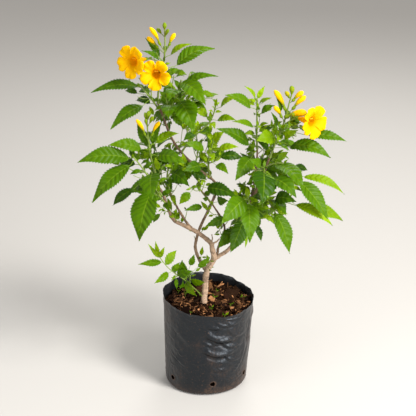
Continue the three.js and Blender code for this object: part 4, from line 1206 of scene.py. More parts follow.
def flower_grid(flower_radius, draw, ruffle):
    """Radius, height, share of the petal and turn over the trumpet's outer side, then its inner."""
    turn = turns_round(PETAL_COLUMNS)
    tube = np.linspace(0, 1, 12)[:, None]
    lip = np.linspace(0, 1, 13)[1:, None]
    rise = TUBE_SHARE * FLOWER["length"]
    tube_radius = TUBE_RADIUS + (FLOWER["throat"] - TUBE_RADIUS) * smoothstep(tube, -0.1, 1.1) + 0 * turn
    reach = petal_reach(turn, flower_radius)[None]
    radius = mix(FLOWER["throat"], reach, lip**0.9)
    waves = np.sin(11 * turn + 6 * draw()) + 0.7 * np.sin(17 * turn + 6 * draw())
    petal = np.cos(FLOWER["petals"] * turn)
    height = rise + (FLOWER["length"] - rise + 1) * np.sin(0.5 * np.pi * lip**0.8) - 1.6 * lip**4
    height = height + ruffle * lip**2.5 * waves[None] - 1.1 * petal * lip * (1.2 - lip)
    outer_r = np.vstack([tube_radius, radius])
    outer_h = np.vstack([rise * tube + 0 * turn, height])
    part = np.vstack([tube - 1 + 0 * turn, lip + 0 * turn])
    inner_r = outer_r[::-1] - PETAL_SKIN * 0.5 * (1 - np.clip(part[::-1], 0, 1))
    inner_h = outer_h[::-1] + PETAL_SKIN
    flat = np.ones_like(part)
    return (np.vstack([outer_r, inner_r]), np.vstack([outer_h, inner_h]),
            np.vstack([part, part[::-1]]), np.vstack([0 * flat, flat]), turn)


def add_flower(sheaf, flower, draw, ruffle):
    radius, height, part, inner, turn = flower_grid(flower["radius"], draw, ruffle)
    side = square(UP, flower["along"])
    front = np.cross(side, flower["along"])
    ring = np.cos(turn)[:, None] * side + np.sin(turn)[:, None] * front
    corners = flower["start"] + height[..., None] * flower["along"] + radius[..., None] * ring[None]
    rows, columns = radius.shape
    bloom = together(part, turn, inner).reshape(-1, 3)
    first, last = corners[0].mean(axis=0), corners[-1].mean(axis=0)
    corners = np.vstack([corners.reshape(-1, 3), first[None], last[None]])
    faces = [face[::-1] for face in skin_faces(rows, columns)]
    sheaf.add(corners, faces, bloom=np.vstack([bloom, bloom[:1], bloom[-1:]]))
    add_cup(sheaf, flower["start"] - flower["along"] * 1.5, flower["along"], 8, 2.7)
    add_stamens(sheaf, flower, side, front, draw)


def add_cup(sheaf, foot, along, length, radius):
    """The green cup at a flower's foot, with five short points."""
    route = straight(foot, foot + along * length)

    def size(share, turn):
        points = 1 - 0.35 * (0.5 - 0.5 * np.cos(5 * turn)) * smoothstep(share, 0.7, 1)
        return radius * (0.45 + 0.55 * smoothstep(share, 0, 0.35)) * points

    add_tube(sheaf, route, size, 20, 10, bloom=(CUP_PART, 0, 0))


def add_stamens(sheaf, flower, side, front, draw):
    """Four stamens against the upper wall of the trumpet, and the style between them."""
    def lobe_radius(share, turn):
        return 0.75 * np.sqrt(np.sin(np.pi * mix(0.03, 0.97, share)))

    foot = flower["start"] + flower["along"] * STAMEN_FOOT
    stamen = (STAMEN_PART, 0, 1)
    for across, reach in STAMENS:
        top = flower["start"] + flower["along"] * (reach + draw()) + side * 4.4 + front * across
        middle = (foot + top) / 2 + side * 1.2
        add_tube(sheaf, Route([foot, middle, top]), lambda share, turn: STAMEN_RADIUS, 6, 8, bloom=stamen)
        if across:
            lobe = straight(top - front * LOBE, top + front * LOBE)
            add_tube(sheaf, lobe, lobe_radius, 8, 8, bloom=stamen)


def add_bud(sheaf, bud):
    """A bud: long ones are coloured clubs in a green cup, and short ones are still green."""
    along = unit(bud["tip"] - bud["root"])
    start = bud["tip"] - along * bud["length"]
    ripe = float(smoothstep(bud["length"], 9, 23))
    widest = 1.12 * bud["wide"] / 2
    bow = square(UP, along) * 0.05 * bud["length"]
    route = Route([start, (start + bud["tip"]) / 2 + bow, bud["tip"]])

    def size(share, turn):
        neck = mix(0.45, 0.36, ripe)
        body = mix(neck, 1, smoothstep(share, 0.1 * ripe, mix(0.5, 0.74, ripe)))
        fullest = mix(0.5, 0.74, ripe)
        end = np.clip(1 - ((share - fullest) / (1.003 - fullest)) ** 2, 0, 1) ** 0.65
        seams = 1 + 0.07 * np.cos(5 * turn) * smoothstep(share, 0.5, 0.8)
        return widest * np.where(share > fullest, end, body) * seams

    def bloom(share):
        return together(BUD_PART, share, ripe)

    add_tube(sheaf, route, size, 16, 18, bloom=bloom)
    if ripe > 0.5:
        add_cup(sheaf, start - along, along, 0.22 * bud["length"], widest * 0.6)


def flower_sheaf(ruffle):
    sheaf = Sheaf("bloom")
    for shoot in grown_plant().values():
        draw = Draws(shoot.row["seed"] + FLOWER_SEED)
        for flower in shoot.flowers:
            add_flower(sheaf, flower, draw, ruffle)
    return sheaf


def bud_sheaf():
    sheaf = Sheaf("bloom")
    for shoot in grown_plant().values():
        for bud in shoot.buds:
            add_bud(sheaf, bud)
    return sheaf


# The nursery bag and its soil


def bag_fold(angle, height):
    """How far the film stands out of a true cone: a few long soft folds."""
    lift = height / BAG["rim"]
    return (0.9 * np.cos(3 * angle + 0.6 + lift) + 0.6 * np.cos(5 * angle - 1.5 * lift) * lift
            + 0.5 * np.cos(2 * angle + 2.5))


def rim_rise(angle):
    """How far the torn, uneven rim stands above or below its middle height."""
    return (3 * np.sin(angle) - 4 * np.cos(angle) + 0.9 * np.cos(3 * angle + 1)
            + 0.6 * np.sin(7 * angle))


def wall_radius(height):
    return mix(BAG["base_radius"], BAG["rim_radius"], height / BAG["rim"])


def from_front(angle, degrees):
    """The signed turn in radians from a place that is given in degrees to the right of the front."""
    centre = radians(degrees - 90)
    return (angle - centre + np.pi) % (2 * np.pi) - np.pi


def small_creases():
    """Short, fine creases that slant down to the right, most of them right of the front."""
    draws = np.random.default_rng(4)
    low = (-180, 18, 10, -34, 1, 0.25, 1.3)
    high = (180, 138, 26, -6, 3, 0.6, 2.2)
    anywhere = draws.uniform(low, high, (46, 7))
    right = draws.uniform((0, *low[1:]), (62, *high[1:]), (15, 7))
    return np.vstack([anywhere, right]).tolist()


def crease_relief(angle, height):
    """The creases in the film: a smile-shaped ridge with a groove beside it."""
    relief = np.zeros(np.broadcast(angle, height).shape)
    for turn, level, long, tilt, sag, depth, wide in CREASES + small_creases():
        out = from_front(angle, turn) * wall_radius(height)
        up = height - level
        lean = radians(tilt)
        along = out * math.cos(lean) + up * math.sin(lean)
        share = along / (long / 2)
        off = up * math.cos(lean) - out * math.sin(lean) - sag * (share**2 - 0.4)
        off = off / wide
        ridge = 2.3 * off * np.exp(-off**2) + 0.3 * np.exp(-(off / 1.5) ** 2)
        relief += depth * ridge * np.exp(-share**4)
    return relief


def crumple_relief(angle, height):
    """Fine crumples: sharp ridges between soft hollows, from 0 to 1."""
    around = (angle + np.pi) / (2 * np.pi)
    total = 0
    for seed, cells, part in ((1, 26, 0.5), (2, 54, 0.3), (3, 110, 0.2)):
        size = 2 * np.pi * BAG["rim_radius"] / cells
        value = Lattice(seed, cells)(around * cells, height / size + 40)
        total = total + part * (1 - np.abs(2 * value - 1))
    return total


def rim_pull(angle, height):
    """How far the folds at the rim pull the film in."""
    pull = 0
    for turn, wide, depth in RIM_FOLDS:
        share = from_front(angle, turn) / radians(wide)
        pull = pull + depth * (np.exp(-share**2) - 0.25 * np.exp(-(share / 2.2) ** 2))
    return pull * smoothstep(height, 112, BAG["rim"])


def hole_offsets(angle, height):
    """Distance from the nearest drain hole's middle."""
    nearest = np.full(np.broadcast(angle, height).shape, 1e3)
    for turn, level in BAG["holes"]:
        out = from_front(angle, turn) * wall_radius(height)
        nearest = np.minimum(nearest, np.hypot(out, height - level))
    return nearest


def film_place(angle, height, inset, crumple, crease=0.0):
    """A place on the film, inset from its outer face. Below the corner it curves to the underside."""
    corner = BAG["corner"]
    level = np.maximum(height, 0)
    fade = smoothstep(height, 0, 3 * corner)
    hole = hole_offsets(angle, level)
    inner_wall = 2.2 * smoothstep(inset, 0, 0.5) * smoothstep(level, SOIL["level"], BAG["rim"])
    relief = crease * crease_relief(angle, level)
    relief = relief + (crumple + inner_wall) * (crumple_relief(angle, level) - 0.5)
    relief = relief + 0.5 * np.exp(-((hole - BAG["hole_radius"] - 0.5) / 1.2) ** 2)
    radius = wall_radius(level) - inset + relief * fade - rim_pull(angle, level)
    round_off = corner * (1 - np.sqrt(np.clip(1 - (1 - np.clip(level / corner, 0, 1)) ** 2, 0, 1)))
    radius = radius - round_off
    out = radius + bag_fold(angle, level) * np.minimum(1, radius / BAG["base_radius"])
    edge = smoothstep(level, SOIL["level"] + 3, BAG["rim"] - 1)
    tear = 0.9 * (Lattice(7, 90)((angle + np.pi) * 90 / (2 * np.pi), 3.0) - 0.5)
    tear = tear * smoothstep(level, BAG["rim"] - 6, BAG["rim"])
    out = out + 0.7 * np.exp(-((level - BAG["rim"] + 0.6) / 1.3) ** 2)
    x = out * np.cos(angle) + BAG["rim_shift"] * level / BAG["rim"]
    y = out * np.sin(angle)
    return together(x, y, level + rim_rise(angle) * edge + tear)


FILM_GRID = (420, 108)
DUST_HEIGHT = 22


def film_body(settings):
    """The film as one closed skin: underside, wall, rim, inner wall and inner floor."""
    around, rows = FILM_GRID
    thick = settings.thickness / MM
    angle = turns_round(around)[None]
    level = BAG["rim"] * np.linspace(0, 1, rows)[:, None] ** 1.15
    shape = (settings.crumple / MM, settings.crease)
    outer = film_place(angle, level, 0, *shape)
    inner = film_place(angle, level[::-1], thick, *shape)
    inner[..., 2] = np.maximum(inner[..., 2], thick)
    floor_share = np.linspace(0.25, 1, 5)[:-1, None, None]
    under = outer[:1] * floor_share
    inner_floor = inner[-1:] * floor_share[::-1]
    inner_floor[..., 2] = thick
    under[..., 2] = 0
    corners = np.concatenate([under, outer, inner, inner_floor])
    middles = [[0, 0, 0], [0, 0, thick]]
    turn = np.degrees(np.abs(from_front(angle, 0)))
    # The film browns towards the floor and in a band at each side as seen from the front.
    side = smoothstep(turn, 38, 80) * (1 - 0.8 * smoothstep(turn, 90, 125))
    height = corners[..., 2]
    brown_low_and_sides = np.maximum(smoothstep(height, DUST_HEIGHT, 0), 0.4 * side)
    near_hole = np.exp(-((hole_offsets(angle, height) - BAG["hole_radius"]) / 1.6) ** 2)
    # The third value marks the inner face, which the film's material paints lighter than the outer film:
    # painted light on the shaded inner wall.
    inside = (np.arange(len(corners)) > len(under) + rows)[:, None]
    wear = together(brown_low_and_sides, near_hole, inside)
    sheaf = Sheaf("wear")
    sheaf.add(np.vstack([corners.reshape(-1, 3), middles]), skin_faces(len(corners), around),
              wear=np.vstack([wear.reshape(-1, 3), wear[0, :1], wear[-1, :1]]))
    return sheaf.build("nursery_bag")


def pierce(piece):
    """Cuts the drain holes through the film."""
    pegs = Sheaf()
    for turn, level in BAG["holes"]:
        way = radians(turn - 90)
        out = np.array([math.cos(way), math.sin(way), 0])
        foot = out * (BAG["base_radius"] - 9) + UP * level
        add_tube(pegs, straight(foot, foot + out * 20), hole_outline, 24, 1)
    cutter = pegs.build("hole_pegs")
    cut = piece.modifiers.new("holes", "BOOLEAN")
    cut.operation = "DIFFERENCE"
    cut.solver = "EXACT"
    cut.object = cutter
    evaluated = piece.evaluated_get(bpy.context.evaluated_depsgraph_get())
    whole = piece.data
    mesh = bpy.data.meshes.new_from_object(evaluated)
    piece.modifiers.remove(cut)
    piece.data = mesh
    bpy.data.objects.remove(cutter)
    keep_values(whole, mesh, "wear")


def keep_values(whole, cut, label):
    """Gives each corner of a cut mesh the value of the nearest corner before the cut."""
    tree = mathutils.kdtree.KDTree(len(whole.vertices))
    for index, corner in enumerate(whole.vertices):
        tree.insert(corner.co, index)
    tree.balance()
    nearest = [tree.find(corner.co)[1] for corner in cut.vertices]
    values = np.empty(3 * len(whole.vertices))
    whole.attributes[label].data.foreach_get("vector", values)
    cut.attributes[label].data.foreach_set("vector", values.reshape(-1, 3)[nearest].ravel())


def hole_outline(share, turn):
    return BAG["hole_radius"] * (1 + 0.08 * np.sin(3 * turn) + 0.05 * np.sin(5 * turn))


# Soil: how far its back stands higher, its reach, how far it lies to the right, and its gap to the
# outside of the film. The trunk's place across, and the room that chips leave round it.

SOIL_TILT, SOIL_REACH, SOIL_SHIFT, SOIL_INSET = 2.5, 70, 4.4, 2.2
TRUNK_AT, TRUNK_ROOM = -3, 10
GOLDEN_TURN = np.pi * (3 - math.sqrt(5))


def soil_height(x, y):
    """The soil's surface: flat round the trunk, with lumps and hollows further out."""
    away = np.hypot(x + 6, y)
    part = smoothstep(away, SOIL["flat_radius"], SOIL["flat_radius"] * 2.5)
    lumps = part * SOIL["bump"] * (np.sin(x / 9 + 1) * np.cos(y / 11) - 0.4)
    coarse = Lattice(21, 64, 64)(x / 6 + 20, y / 6 + 20) - 0.5
    fine = Lattice(22, 128, 128)(x / 2 + 60, y / 2 + 60) - 0.5
    tilt = SOIL_TILT * np.clip(1 + y / SOIL_REACH, 0, 2)
    return SOIL["level"] + tilt + lumps + 3.2 * part * coarse + 1.2 * fine


def soil_sheaf():
    """The soil as one closed body inside the film."""
    around, rings = 220, 60
    angle = turns_round(around)[None]
    low = np.linspace(3, 125, 50)[:, None]
    hollow = 7 * np.exp(-(hole_offsets(angle, low) / 5.5) ** 2)
    wall = film_place(angle, low, 5.5 + hollow, 0)
    brim = film_place(angle, np.array([[SOIL["level"]]]), SOIL_INSET, 0)
    share = np.linspace(1, 0.02, rings)[:, None, None]
    top = brim * share
    top[..., 2] = soil_height(top[..., 0], top[..., 1])
    corners = np.concatenate([wall, top])
    middles = [[0, 0, 3], [0, 0, float(soil_height(0.0, 0.0))]]
    sheaf = Sheaf()
    sheaf.add(np.vstack([corners.reshape(-1, 3), middles]), skin_faces(len(corners), around))
    return sheaf


def soil_spots(draws, count, most=0.95):
    """Places on the soil, spread evenly and clear of the trunk."""
    index = np.arange(count)
    radius = most * (wall_radius(SOIL["level"]) - 3) * np.sqrt((index + draws.random(count)) / count)
    turn = index * GOLDEN_TURN + draws.normal(0, 0.35, count)
    x = radius * np.cos(turn) + SOIL_SHIFT * radius / SOIL_REACH
    y = radius * np.sin(turn)
    clear = np.hypot(x - TRUNK_AT, y) > TRUNK_ROOM
    return np.column_stack([x, y, soil_height(x, y)])[clear]


CHIP_CORNERS = np.array([[i, j, k] for k in (-1, 1) for j in (-1, 1) for i in (-1, 0, 1)], float)
CHIP_FACES = [(0, 3, 4, 1), (1, 4, 5, 2), (6, 7, 10, 9), (7, 8, 11, 10), (0, 1, 7, 6), (1, 2, 8, 7),
              (3, 9, 10, 4), (4, 10, 11, 5), (0, 6, 9, 3), (2, 5, 11, 8)]


def chip_sheaf(settings):
    """Bark chips: bent, uneven flakes that lie on the soil at all angles."""
    draws = np.random.default_rng(77)
    sheaf = Sheaf("chip")
    middling = settings.chip_size / MM
    for spot in soil_spots(draws, settings.chips):
        to_wall = wall_radius(SOIL["level"]) - math.hypot(spot[0] - SOIL_SHIFT, spot[1])
        long = min(middling * draws.lognormal(0, 0.5), 1.2 * to_wall)
        size = np.array([long, long * draws.uniform(0.3, 0.7), draws.uniform(0.8, 2.2)]) / 2
        shape = CHIP_CORNERS * size * (1 + draws.uniform(-0.28, 0.28, CHIP_CORNERS.shape))
        shape[:, 2] -= draws.uniform(-0.12, 0.2) * size[0] * (CHIP_CORNERS[:, 0] ** 2)
        yaw, pitch, roll = draws.uniform(0, 2 * np.pi), draws.normal(0, 0.5), draws.normal(0, 0.5)
        shape = shape @ np.array(mathutils.Euler((roll, pitch, yaw)).to_matrix()).T
        lift = draws.uniform(0.2, 1.8) + 0.4 * size[0] * abs(math.sin(pitch))
        tone = draws.beta(0.5, 2.0)
        sheaf.add(spot + UP * lift + shape, CHIP_FACES, chip=(tone, draws.random(), long))
    add_fibres(sheaf, draws)
    return sheaf


def add_fibres(sheaf, draws):
    """Dry roots and slivers that lie across the chips."""
    for spot in soil_spots(draws, 46, 0.86):
        long = draws.uniform(8, 20)
        yaw = draws.uniform(0, 2 * np.pi)
        way = np.array([math.cos(yaw), math.sin(yaw), 0])
        across = np.array([-way[1], way[0], 0])
        points = [spot + way * long * (s - 0.5) + across * draws.uniform(-0.1, 0.1) * long
                  for s in (0, 0.35, 0.7, 1)]
        points = [p * [1, 1, 0] + UP * (soil_height(p[0], p[1]) + draws.uniform(0.7, 2.2)) for p in points]
        size = draws.uniform(0.25, 0.6)
        add_tube(sheaf, Route(points), lambda share, turn: size * (1 - 0.5 * share), 5, 12,
                 chip=(draws.uniform(0.4, 1), draws.random(), long))


def sprout_sheaf(count):
    """Small green seedlings that grow through the chips."""
    draws = np.random.default_rng(31)
    leaves, stems = Sheaf("blade", "tone"), Draws(5)
    for spot in soil_spots(draws, count, 0.88):
        height = draws.uniform(3, 9)
        lean = np.array([draws.normal(0, 0.25), draws.normal(0, 0.25), 1])
        top = spot + unit(lean) * height
        add_tube(leaves, straight(spot - UP, top), lambda share, turn: 0.4 * (1 - 0.3 * share), 5, 4,
                 blade=(0.5, 0, 0.2), tone=(0.8, 0.5, 0.1))
        first = draws.uniform(0, 2 * np.pi)
        for i in range(draws.integers(2, 4)):
            turn = first + i * 2.3
            way = unit(np.array([math.cos(turn), math.sin(turn), draws.uniform(0.3, 1.0)]))
            blade = draws.uniform(3.5, 7)
            leaf = Leaf(top, top + way * blade * 1.15, blade, blade * 0.55, draws.uniform(0.2, 0.85))
            add_leaf(leaves, leaf, stems, 0.1)
    return leaves


# Materials


def operator(operation, reflected=False):
    """A method that adds one Math node for a value and another value or number."""
    def method(value, other):
        pair = (other, value) if reflected else (value, other)
        return value.look.maths(operation, *pair)
    return method


class Value:
    """A socket that maths is written with."""

    def __init__(self, look, socket):
        self.look = look
        self.socket = socket

    __add__ = operator("ADD")
    __radd__ = operator("ADD", reflected=True)
    __sub__ = operator("SUBTRACT")
    __rsub__ = operator("SUBTRACT", reflected=True)
    __mul__ = operator("MULTIPLY")
    __rmul__ = operator("MULTIPLY", reflected=True)


class Look:
    """A material's nodes."""

    def __init__(self, name):
        self.material = bpy.data.materials.new(name)
        self.material.use_nodes = True
        self.tree = self.material.node_tree
        self.tree.nodes.clear()

    def node(self, kind, settings=None, values=None):
        """Adds a node: its settings first, and then its sockets' values or links."""
        made = self.tree.nodes.new(kind)
        for name, setting in (settings or {}).items():
            setattr(made, name, setting)
        for key, value in (values or {}).items():
            socket = made.inputs[key]
            if isinstance(value, Value):
                self.tree.links.new(value.socket, socket)
            elif socket.type == "RGBA" and len(value) == 3:
                socket.default_value = (*value, 1)
            else:
                socket.default_value = value
        return made

    def first(self, kind, settings, values):
        """Adds a node and gives its first output."""
        return Value(self, self.node(kind, settings, values).outputs[0])

    def maths(self, operation, *values):
        return self.first("ShaderNodeMath", {"operation": operation}, dict(enumerate(values)))

    def most(self, first, second):
        return self.maths("MAXIMUM", first, second)

    def smooth(self, value, low, high):
        values = {0: value, 1: low, 2: high, 3: 0.0, 4: 1.0}
        return self.first("ShaderNodeMapRange", {"interpolation_type": "SMOOTHSTEP"}, values)

    def blend(self, part, first, second):
        values = {0: part, 6: first, 7: second}
        return Value(self, self.node("ShaderNodeMix", {"data_type": "RGBA"}, values).outputs[2])

    def place(self):
        return Value(self, self.node("ShaderNodeTexCoord").outputs["Object"])

    def stretched(self, x, y, z):
        values = {0: self.place(), 1: (x, y, z)}
        return self.first("ShaderNodeVectorMath", {"operation": "MULTIPLY"}, values)

    def noise(self, scale, detail=3.0, rough=0.55, place=None):
        values = {"Vector": place or self.place(), "Scale": scale, "Detail": detail, "Roughness": rough}
        return self.first("ShaderNodeTexNoise", None, values)

    def attribute(self, name):
        """The three values of a corner attribute."""
        vector = self.node("ShaderNodeAttribute", {"attribute_name": name}).outputs["Vector"]
        parts = self.node("ShaderNodeSeparateXYZ", None, {0: Value(self, vector)})
        return [Value(self, output) for output in parts.outputs]

    def bump(self, height, distance, strength):
        values = {"Height": height, "Distance": distance, "Strength": strength}
        return self.first("ShaderNodeBump", None, values)

    def surface(self, **values):
        named = {name.replace("_", " ").title().replace("Ior", "IOR"): value
                 for name, value in values.items()}
        return self.first("ShaderNodeBsdfPrincipled", None, named)

    def lit_through(self, body, tint, part):
        """A thin body that lets part of the light through in a tint."""
        glow = self.first("ShaderNodeBsdfTranslucent", None, {"Color": (*tint, 1)})
        return self.first("ShaderNodeMixShader", None, {0: part, 1: body, 2: glow})

    def coat(self, **values):
        """Finishes the material with one plain surface."""
        return self.finish(self.surface(**values))

    def finish(self, shader):
        self.node("ShaderNodeOutputMaterial", None, {"Surface": shader})
        return self.material


# Colours that aren't settings

# The film's inner face is coloured lighter than the outer film: painted light on the shaded inner wall.
FILM_INSIDE_PAINTED_LIGHT = (0.014, 0.016, 0.018)
FILM_GLINT = (0.86, 0.93, 1.0)
CRUMBS = (0.085, 0.036, 0.018)
REDDISH_CHIP = (0.12, 0.045, 0.022)
SPLASHED_SOIL = (0.13, 0.068, 0.036)
STAMEN = (0.85, 0.48, 0.02)
LIGHT_THROUGH_LEAF = (0.42, 0.68, 0.01)
LIGHT_THROUGH_PETAL = (0.95, 0.62, 0.0)


def film_look(settings):
    look = Look("film")
    low_and_side_brown, near_hole, inside = look.attribute("wear")
    clouds = look.noise(22.0, 4.0, 0.6)
    grains = look.noise(420.0, 3.0, 0.7)
    runs = look.noise(60.0, 4.0, 0.6, look.stretched(1, 1, 0.18))
    # The first value of the film's attribute is browner towards the floor and in a band at each side seen
    # from the front; dust patches and specks lie over it.
    patches = look.smooth(0.68 * clouds + 0.32 * runs + 0.24 * low_and_side_brown, 0.5, 0.75)
    specks = look.smooth(look.noise(430.0, 2.0, 0.5), 0.62, 0.74) * 0.4
    dust = look.smooth(grains, 0.38, 0.62) * look.most(patches * 0.42, low_and_side_brown * runs * 0.36)
    dust = look.most(dust, specks)
    dust = look.most(dust, near_hole * 0.45) * (1 - 0.7 * inside)
    # The inner face takes the lighter inside colour: painted light on the inner wall.
    film = look.blend(inside, settings.film, FILM_INSIDE_PAINTED_LIGHT)
    base = look.blend(dust * 0.75, film, settings.dust)
    rough = settings.gloss + 0.1 * look.noise(60.0) + 0.4 * dust
    relief = 2.5 * look.noise(75.0, 2.0, 0.5) + look.noise(190.0, 3.0, 0.6) + 0.15 * grains
    normal = look.bump(relief, 0.0008, 0.6)
    return look.coat(base_color=base, roughness=rough, normal=normal, specular_ior_level=0.42,
                     specular_tint=FILM_GLINT)


def soil_look(settings):
    look = Look("fine_soil")
    grains = look.noise(520.0, 4.0, 0.7)
    # The near-black fine soil is partly painted shade in the gaps between the chips.
    base = look.blend(look.smooth(grains, 0.35, 0.75), settings.earth_and_gap_shade, settings.dark_chip)
    crumbs = look.smooth(look.noise(70.0, 4.0, 0.7), 0.48, 0.6) * look.smooth(grains, 0.3, 0.6)
    base = look.blend(crumbs, base, CRUMBS)
    normal = look.bump(grains + 0.5 * look.noise(1400.0), 0.0009, 0.9)
    return look.coat(base_color=base, roughness=0.95, normal=normal, specular_ior_level=0.03)


def chip_look(settings):
    look = Look("bark_chip")
    tone, chance, _ = look.attribute("chip")
    grain = look.noise(600.0, 3.0, 0.6, look.stretched(1, 1, 3))
    shade = look.smooth(tone + 0.4 * (grain - 0.5), 0.05, 1.0)
    base = look.blend(shade, settings.dark_chip, settings.pale_chip)
    base = look.blend(chance * 0.12, base, REDDISH_CHIP)
    normal = look.bump(grain, 0.0005, 0.7)
    return look.coat(base_color=base, roughness=0.9, normal=normal, specular_ior_level=0.04)


def bark_look(settings):
    look = Look("bark")
    age, pores, _ = look.attribute("wood")
    streaks = look.noise(150.0, 4.0, 0.6, look.stretched(1, 1, 0.3))
    flecks = look.noise(700.0, 3.0, 0.7)
    weathered = look.smooth(age + 0.35 * (streaks - 0.5), 0.35, 0.85)
    base = look.blend(weathered, settings.young, settings.old)
    bands = look.noise(110.0, 3.0, 0.6, look.stretched(0.5, 0.5, 3.0))
    dark = look.smooth(flecks, 0.5, 0.72) * 0.4 + look.smooth(bands, 0.5, 0.7) * 0.4
    dark = look.most(dark, look.smooth(look.noise(70.0, 4.0, 0.65), 0.52, 0.62) * 0.6)
    dark = look.most(dark, look.smooth(look.noise(210.0, 3.0, 0.6), 0.54, 0.64) * 0.55)
    base = look.blend(dark, base, settings.pore)
    base = look.blend(look.smooth(pores, 0.35, 0.8) * 0.8, base, settings.pore)
    soiled = look.smooth(age, 0.955, 1.0) * look.smooth(flecks + streaks, 0.7, 1.2)
    base = look.blend(soiled * 0.75, base, SPLASHED_SOIL)
    normal = look.bump(flecks + streaks + bands, 0.0006, 0.8)
    return look.coat(base_color=base, roughness=0.82, normal=normal)


def twig_look(settings):
    look = Look("green_twig")
    age, _, _ = look.attribute("wood")
    streaks = look.noise(220.0, 3.0, 0.6, look.stretched(1, 1, 0.3))
    woody = look.smooth(age + 0.4 * (streaks - 0.5), 0.1, 0.7)
    base = look.blend(woody, settings.green, settings.flushed)
    normal = look.bump(streaks, 0.0003, 0.5)
    return look.coat(base_color=base, roughness=0.55, normal=normal)


def leaf_look(settings):
    look = Look("leaf")
    phase, across, side = look.attribute("blade")
    tone, chance, share = look.attribute("tone")
    far = look.maths("ABSOLUTE", across)
    patches = look.noise(55.0, 3.0, 0.55)
    # The tone gives each leaf's age, and on many listed leaves painted light and shade as well.
    shade = tone + 0.3 * (chance - 0.5) + 0.22 * (patches - 0.5) + 0.12 * (share - 0.5)
    base = look.blend(look.smooth(shade, 0.0, 0.5), settings.old, settings.mature)
    base = look.blend(look.smooth(shade, 0.45, 1.0), base, settings.young)
    beat = look.maths("ABSOLUTE", look.maths("FRACT", phase + 1.5) - 0.5)
    rib = 1 - look.smooth(far, 0.0, 0.07)
    side_vein = (1 - look.smooth(beat, 0.0, 0.085)) * (1 - look.smooth(far, 0.75, 0.98)) * 0.55
    # Along the side veins the upper side is darkened towards the old colour: painted shade in the sunken
    # veins.
    top = look.blend(side_vein * 0.36, base, settings.old)
    # Midway between the side veins the upper side is lightened towards the young colour: painted highlight
    # on the quilted bulges.
    top = look.blend(look.smooth(beat, 0.25, 0.5) * (1 - far) * 0.06, top, settings.young)
    top = look.blend(rib * 0.5, top, settings.vein)
    veins = look.most(rib, side_vein)
    under_base = look.blend(0.72, base, settings.under)
    under = look.blend(veins * 0.5, under_base, settings.vein)
    is_top = look.smooth(side, 0.47, 0.53)
    colour_here = look.blend(is_top, under, top)
    fine = look.noise(900.0, 2.0, 0.5)
    height = look.smooth(beat, 0.0, 0.35) * (1 - 0.6 * far) + 0.12 * fine - 0.5 * rib
    normal = look.bump(height, 0.0007, 0.8)
    rough = settings.roughness + 0.22 * (1 - is_top) + 0.1 * (patches - 0.5)
    body = look.surface(base_color=colour_here, roughness=rough, normal=normal, specular_ior_level=0.1)
    part = settings.glow * (1 - 0.5 * veins) * look.smooth(shade, -0.3, 0.9)
    return look.finish(look.lit_through(body, LIGHT_THROUGH_LEAF, part))


def blossom_look(settings):
    look = Look("blossom")
    part, turn, inner = look.attribute("bloom")
    is_petal = look.smooth(part, -1.4, -1.1)
    streaks = look.smooth(look.maths("SINE", turn * 25), 0.2, 0.9)
    edge = look.blend(look.smooth(part, 0.2, 1.0), settings.petal, settings.edge)
    deep = (1 - look.smooth(part, -0.5, 0.05)) * inner
    lines = streaks * inner * (1 - look.smooth(part, -0.1, 0.42)) * look.smooth(part, -0.7, -0.2)
    petal = look.blend(look.most(deep * 0.35, lines * 0.45), edge, settings.throat)
    is_bud = 1 - look.smooth(part, -3.7, -3.5)
    ripe = look.smooth(inner + 0.25 * (look.noise(90.0) - 0.5), 0.15, 0.6)
    bud = look.blend(ripe * look.smooth(turn, 0.2, 0.6), settings.calyx, settings.bud)
    is_cup = look.smooth(part, -3.4, -3.2) * (1 - look.smooth(part, -2.8, -2.6))
    base = look.blend(is_petal, STAMEN, petal)
    base = look.blend(is_bud, base, bud)
    base = look.blend(is_cup, base, settings.calyx)
    crease = look.maths("SINE", turn * 40 + 3 * look.noise(60.0))
    normal = look.bump(crease * 0.5 + look.noise(260.0), 0.0003, 0.5)
    body = look.surface(base_color=base, roughness=0.5, normal=normal, specular_ior_level=0.06)
    thin = is_petal * (0.4 + 0.2 * (1 - look.smooth(part, -0.3, 0.3)))
    return look.finish(look.lit_through(body, LIGHT_THROUGH_PETAL, thin))


def floor_look(settings):
    look = Look("floor")
    return look.coat(base_color=settings.floor, roughness=0.9)


# Operators


def hand_over(piece, look, slot, *nodes):
    """Gives a piece its material and body, and hides the solids that it stands for."""
    piece.data.materials.clear()
    piece.data.materials.append(look)
    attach(piece, BODY)
    if nodes:
        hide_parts(*nodes)


class BuildBag(bpy.types.Operator):
    """Build the crumpled black film of the nursery bag"""

    bl_idname = "yellow_bells.build_bag"
    bl_label = "Nursery bag"

    def execute(self, context):
        settings = context.scene.yellow_bells_bag
        piece = film_body(settings)
        pierce(piece)
        hand_over(piece, film_look(settings), "film", "bag")
        return {"FINISHED"}


class BuildSoil(bpy.types.Operator):
    """Build the soil with its bark chips and seedlings"""

    bl_idname = "yellow_bells.build_soil"
    bl_label = "Soil"

    def execute(self, context):
        settings = context.scene.yellow_bells_soil
        hand_over(soil_sheaf().build("fine_soil"), soil_look(settings), "soil", "soil")
        hand_over(chip_sheaf(settings).build("bark_chips"), chip_look(settings), "soil")
        sprouts = sprout_sheaf(settings.sprouts).build("sprouts")
        hand_over(sprouts, leaf_look(context.scene.yellow_bells_leaf), "leaf")
        return {"FINISHED"}


class BuildLimbs(bpy.types.Operator):
    """Build the trunk, the boughs and the green twigs"""

    bl_idname = "yellow_bells.build_limbs"
    bl_label = "Trunk, boughs and twigs"

    def execute(self, context):
        settings = context.scene.yellow_bells_bark
        boughs = bark_sheaf(settings.relief / MM).build("boughs")
        hand_over(boughs, bark_look(settings), "bark", *[limb["name"] for limb in LIMBS])
        hand_over(twig_sheaf().build("green_twigs"), twig_look(settings), "leaf")
        return {"FINISHED"}


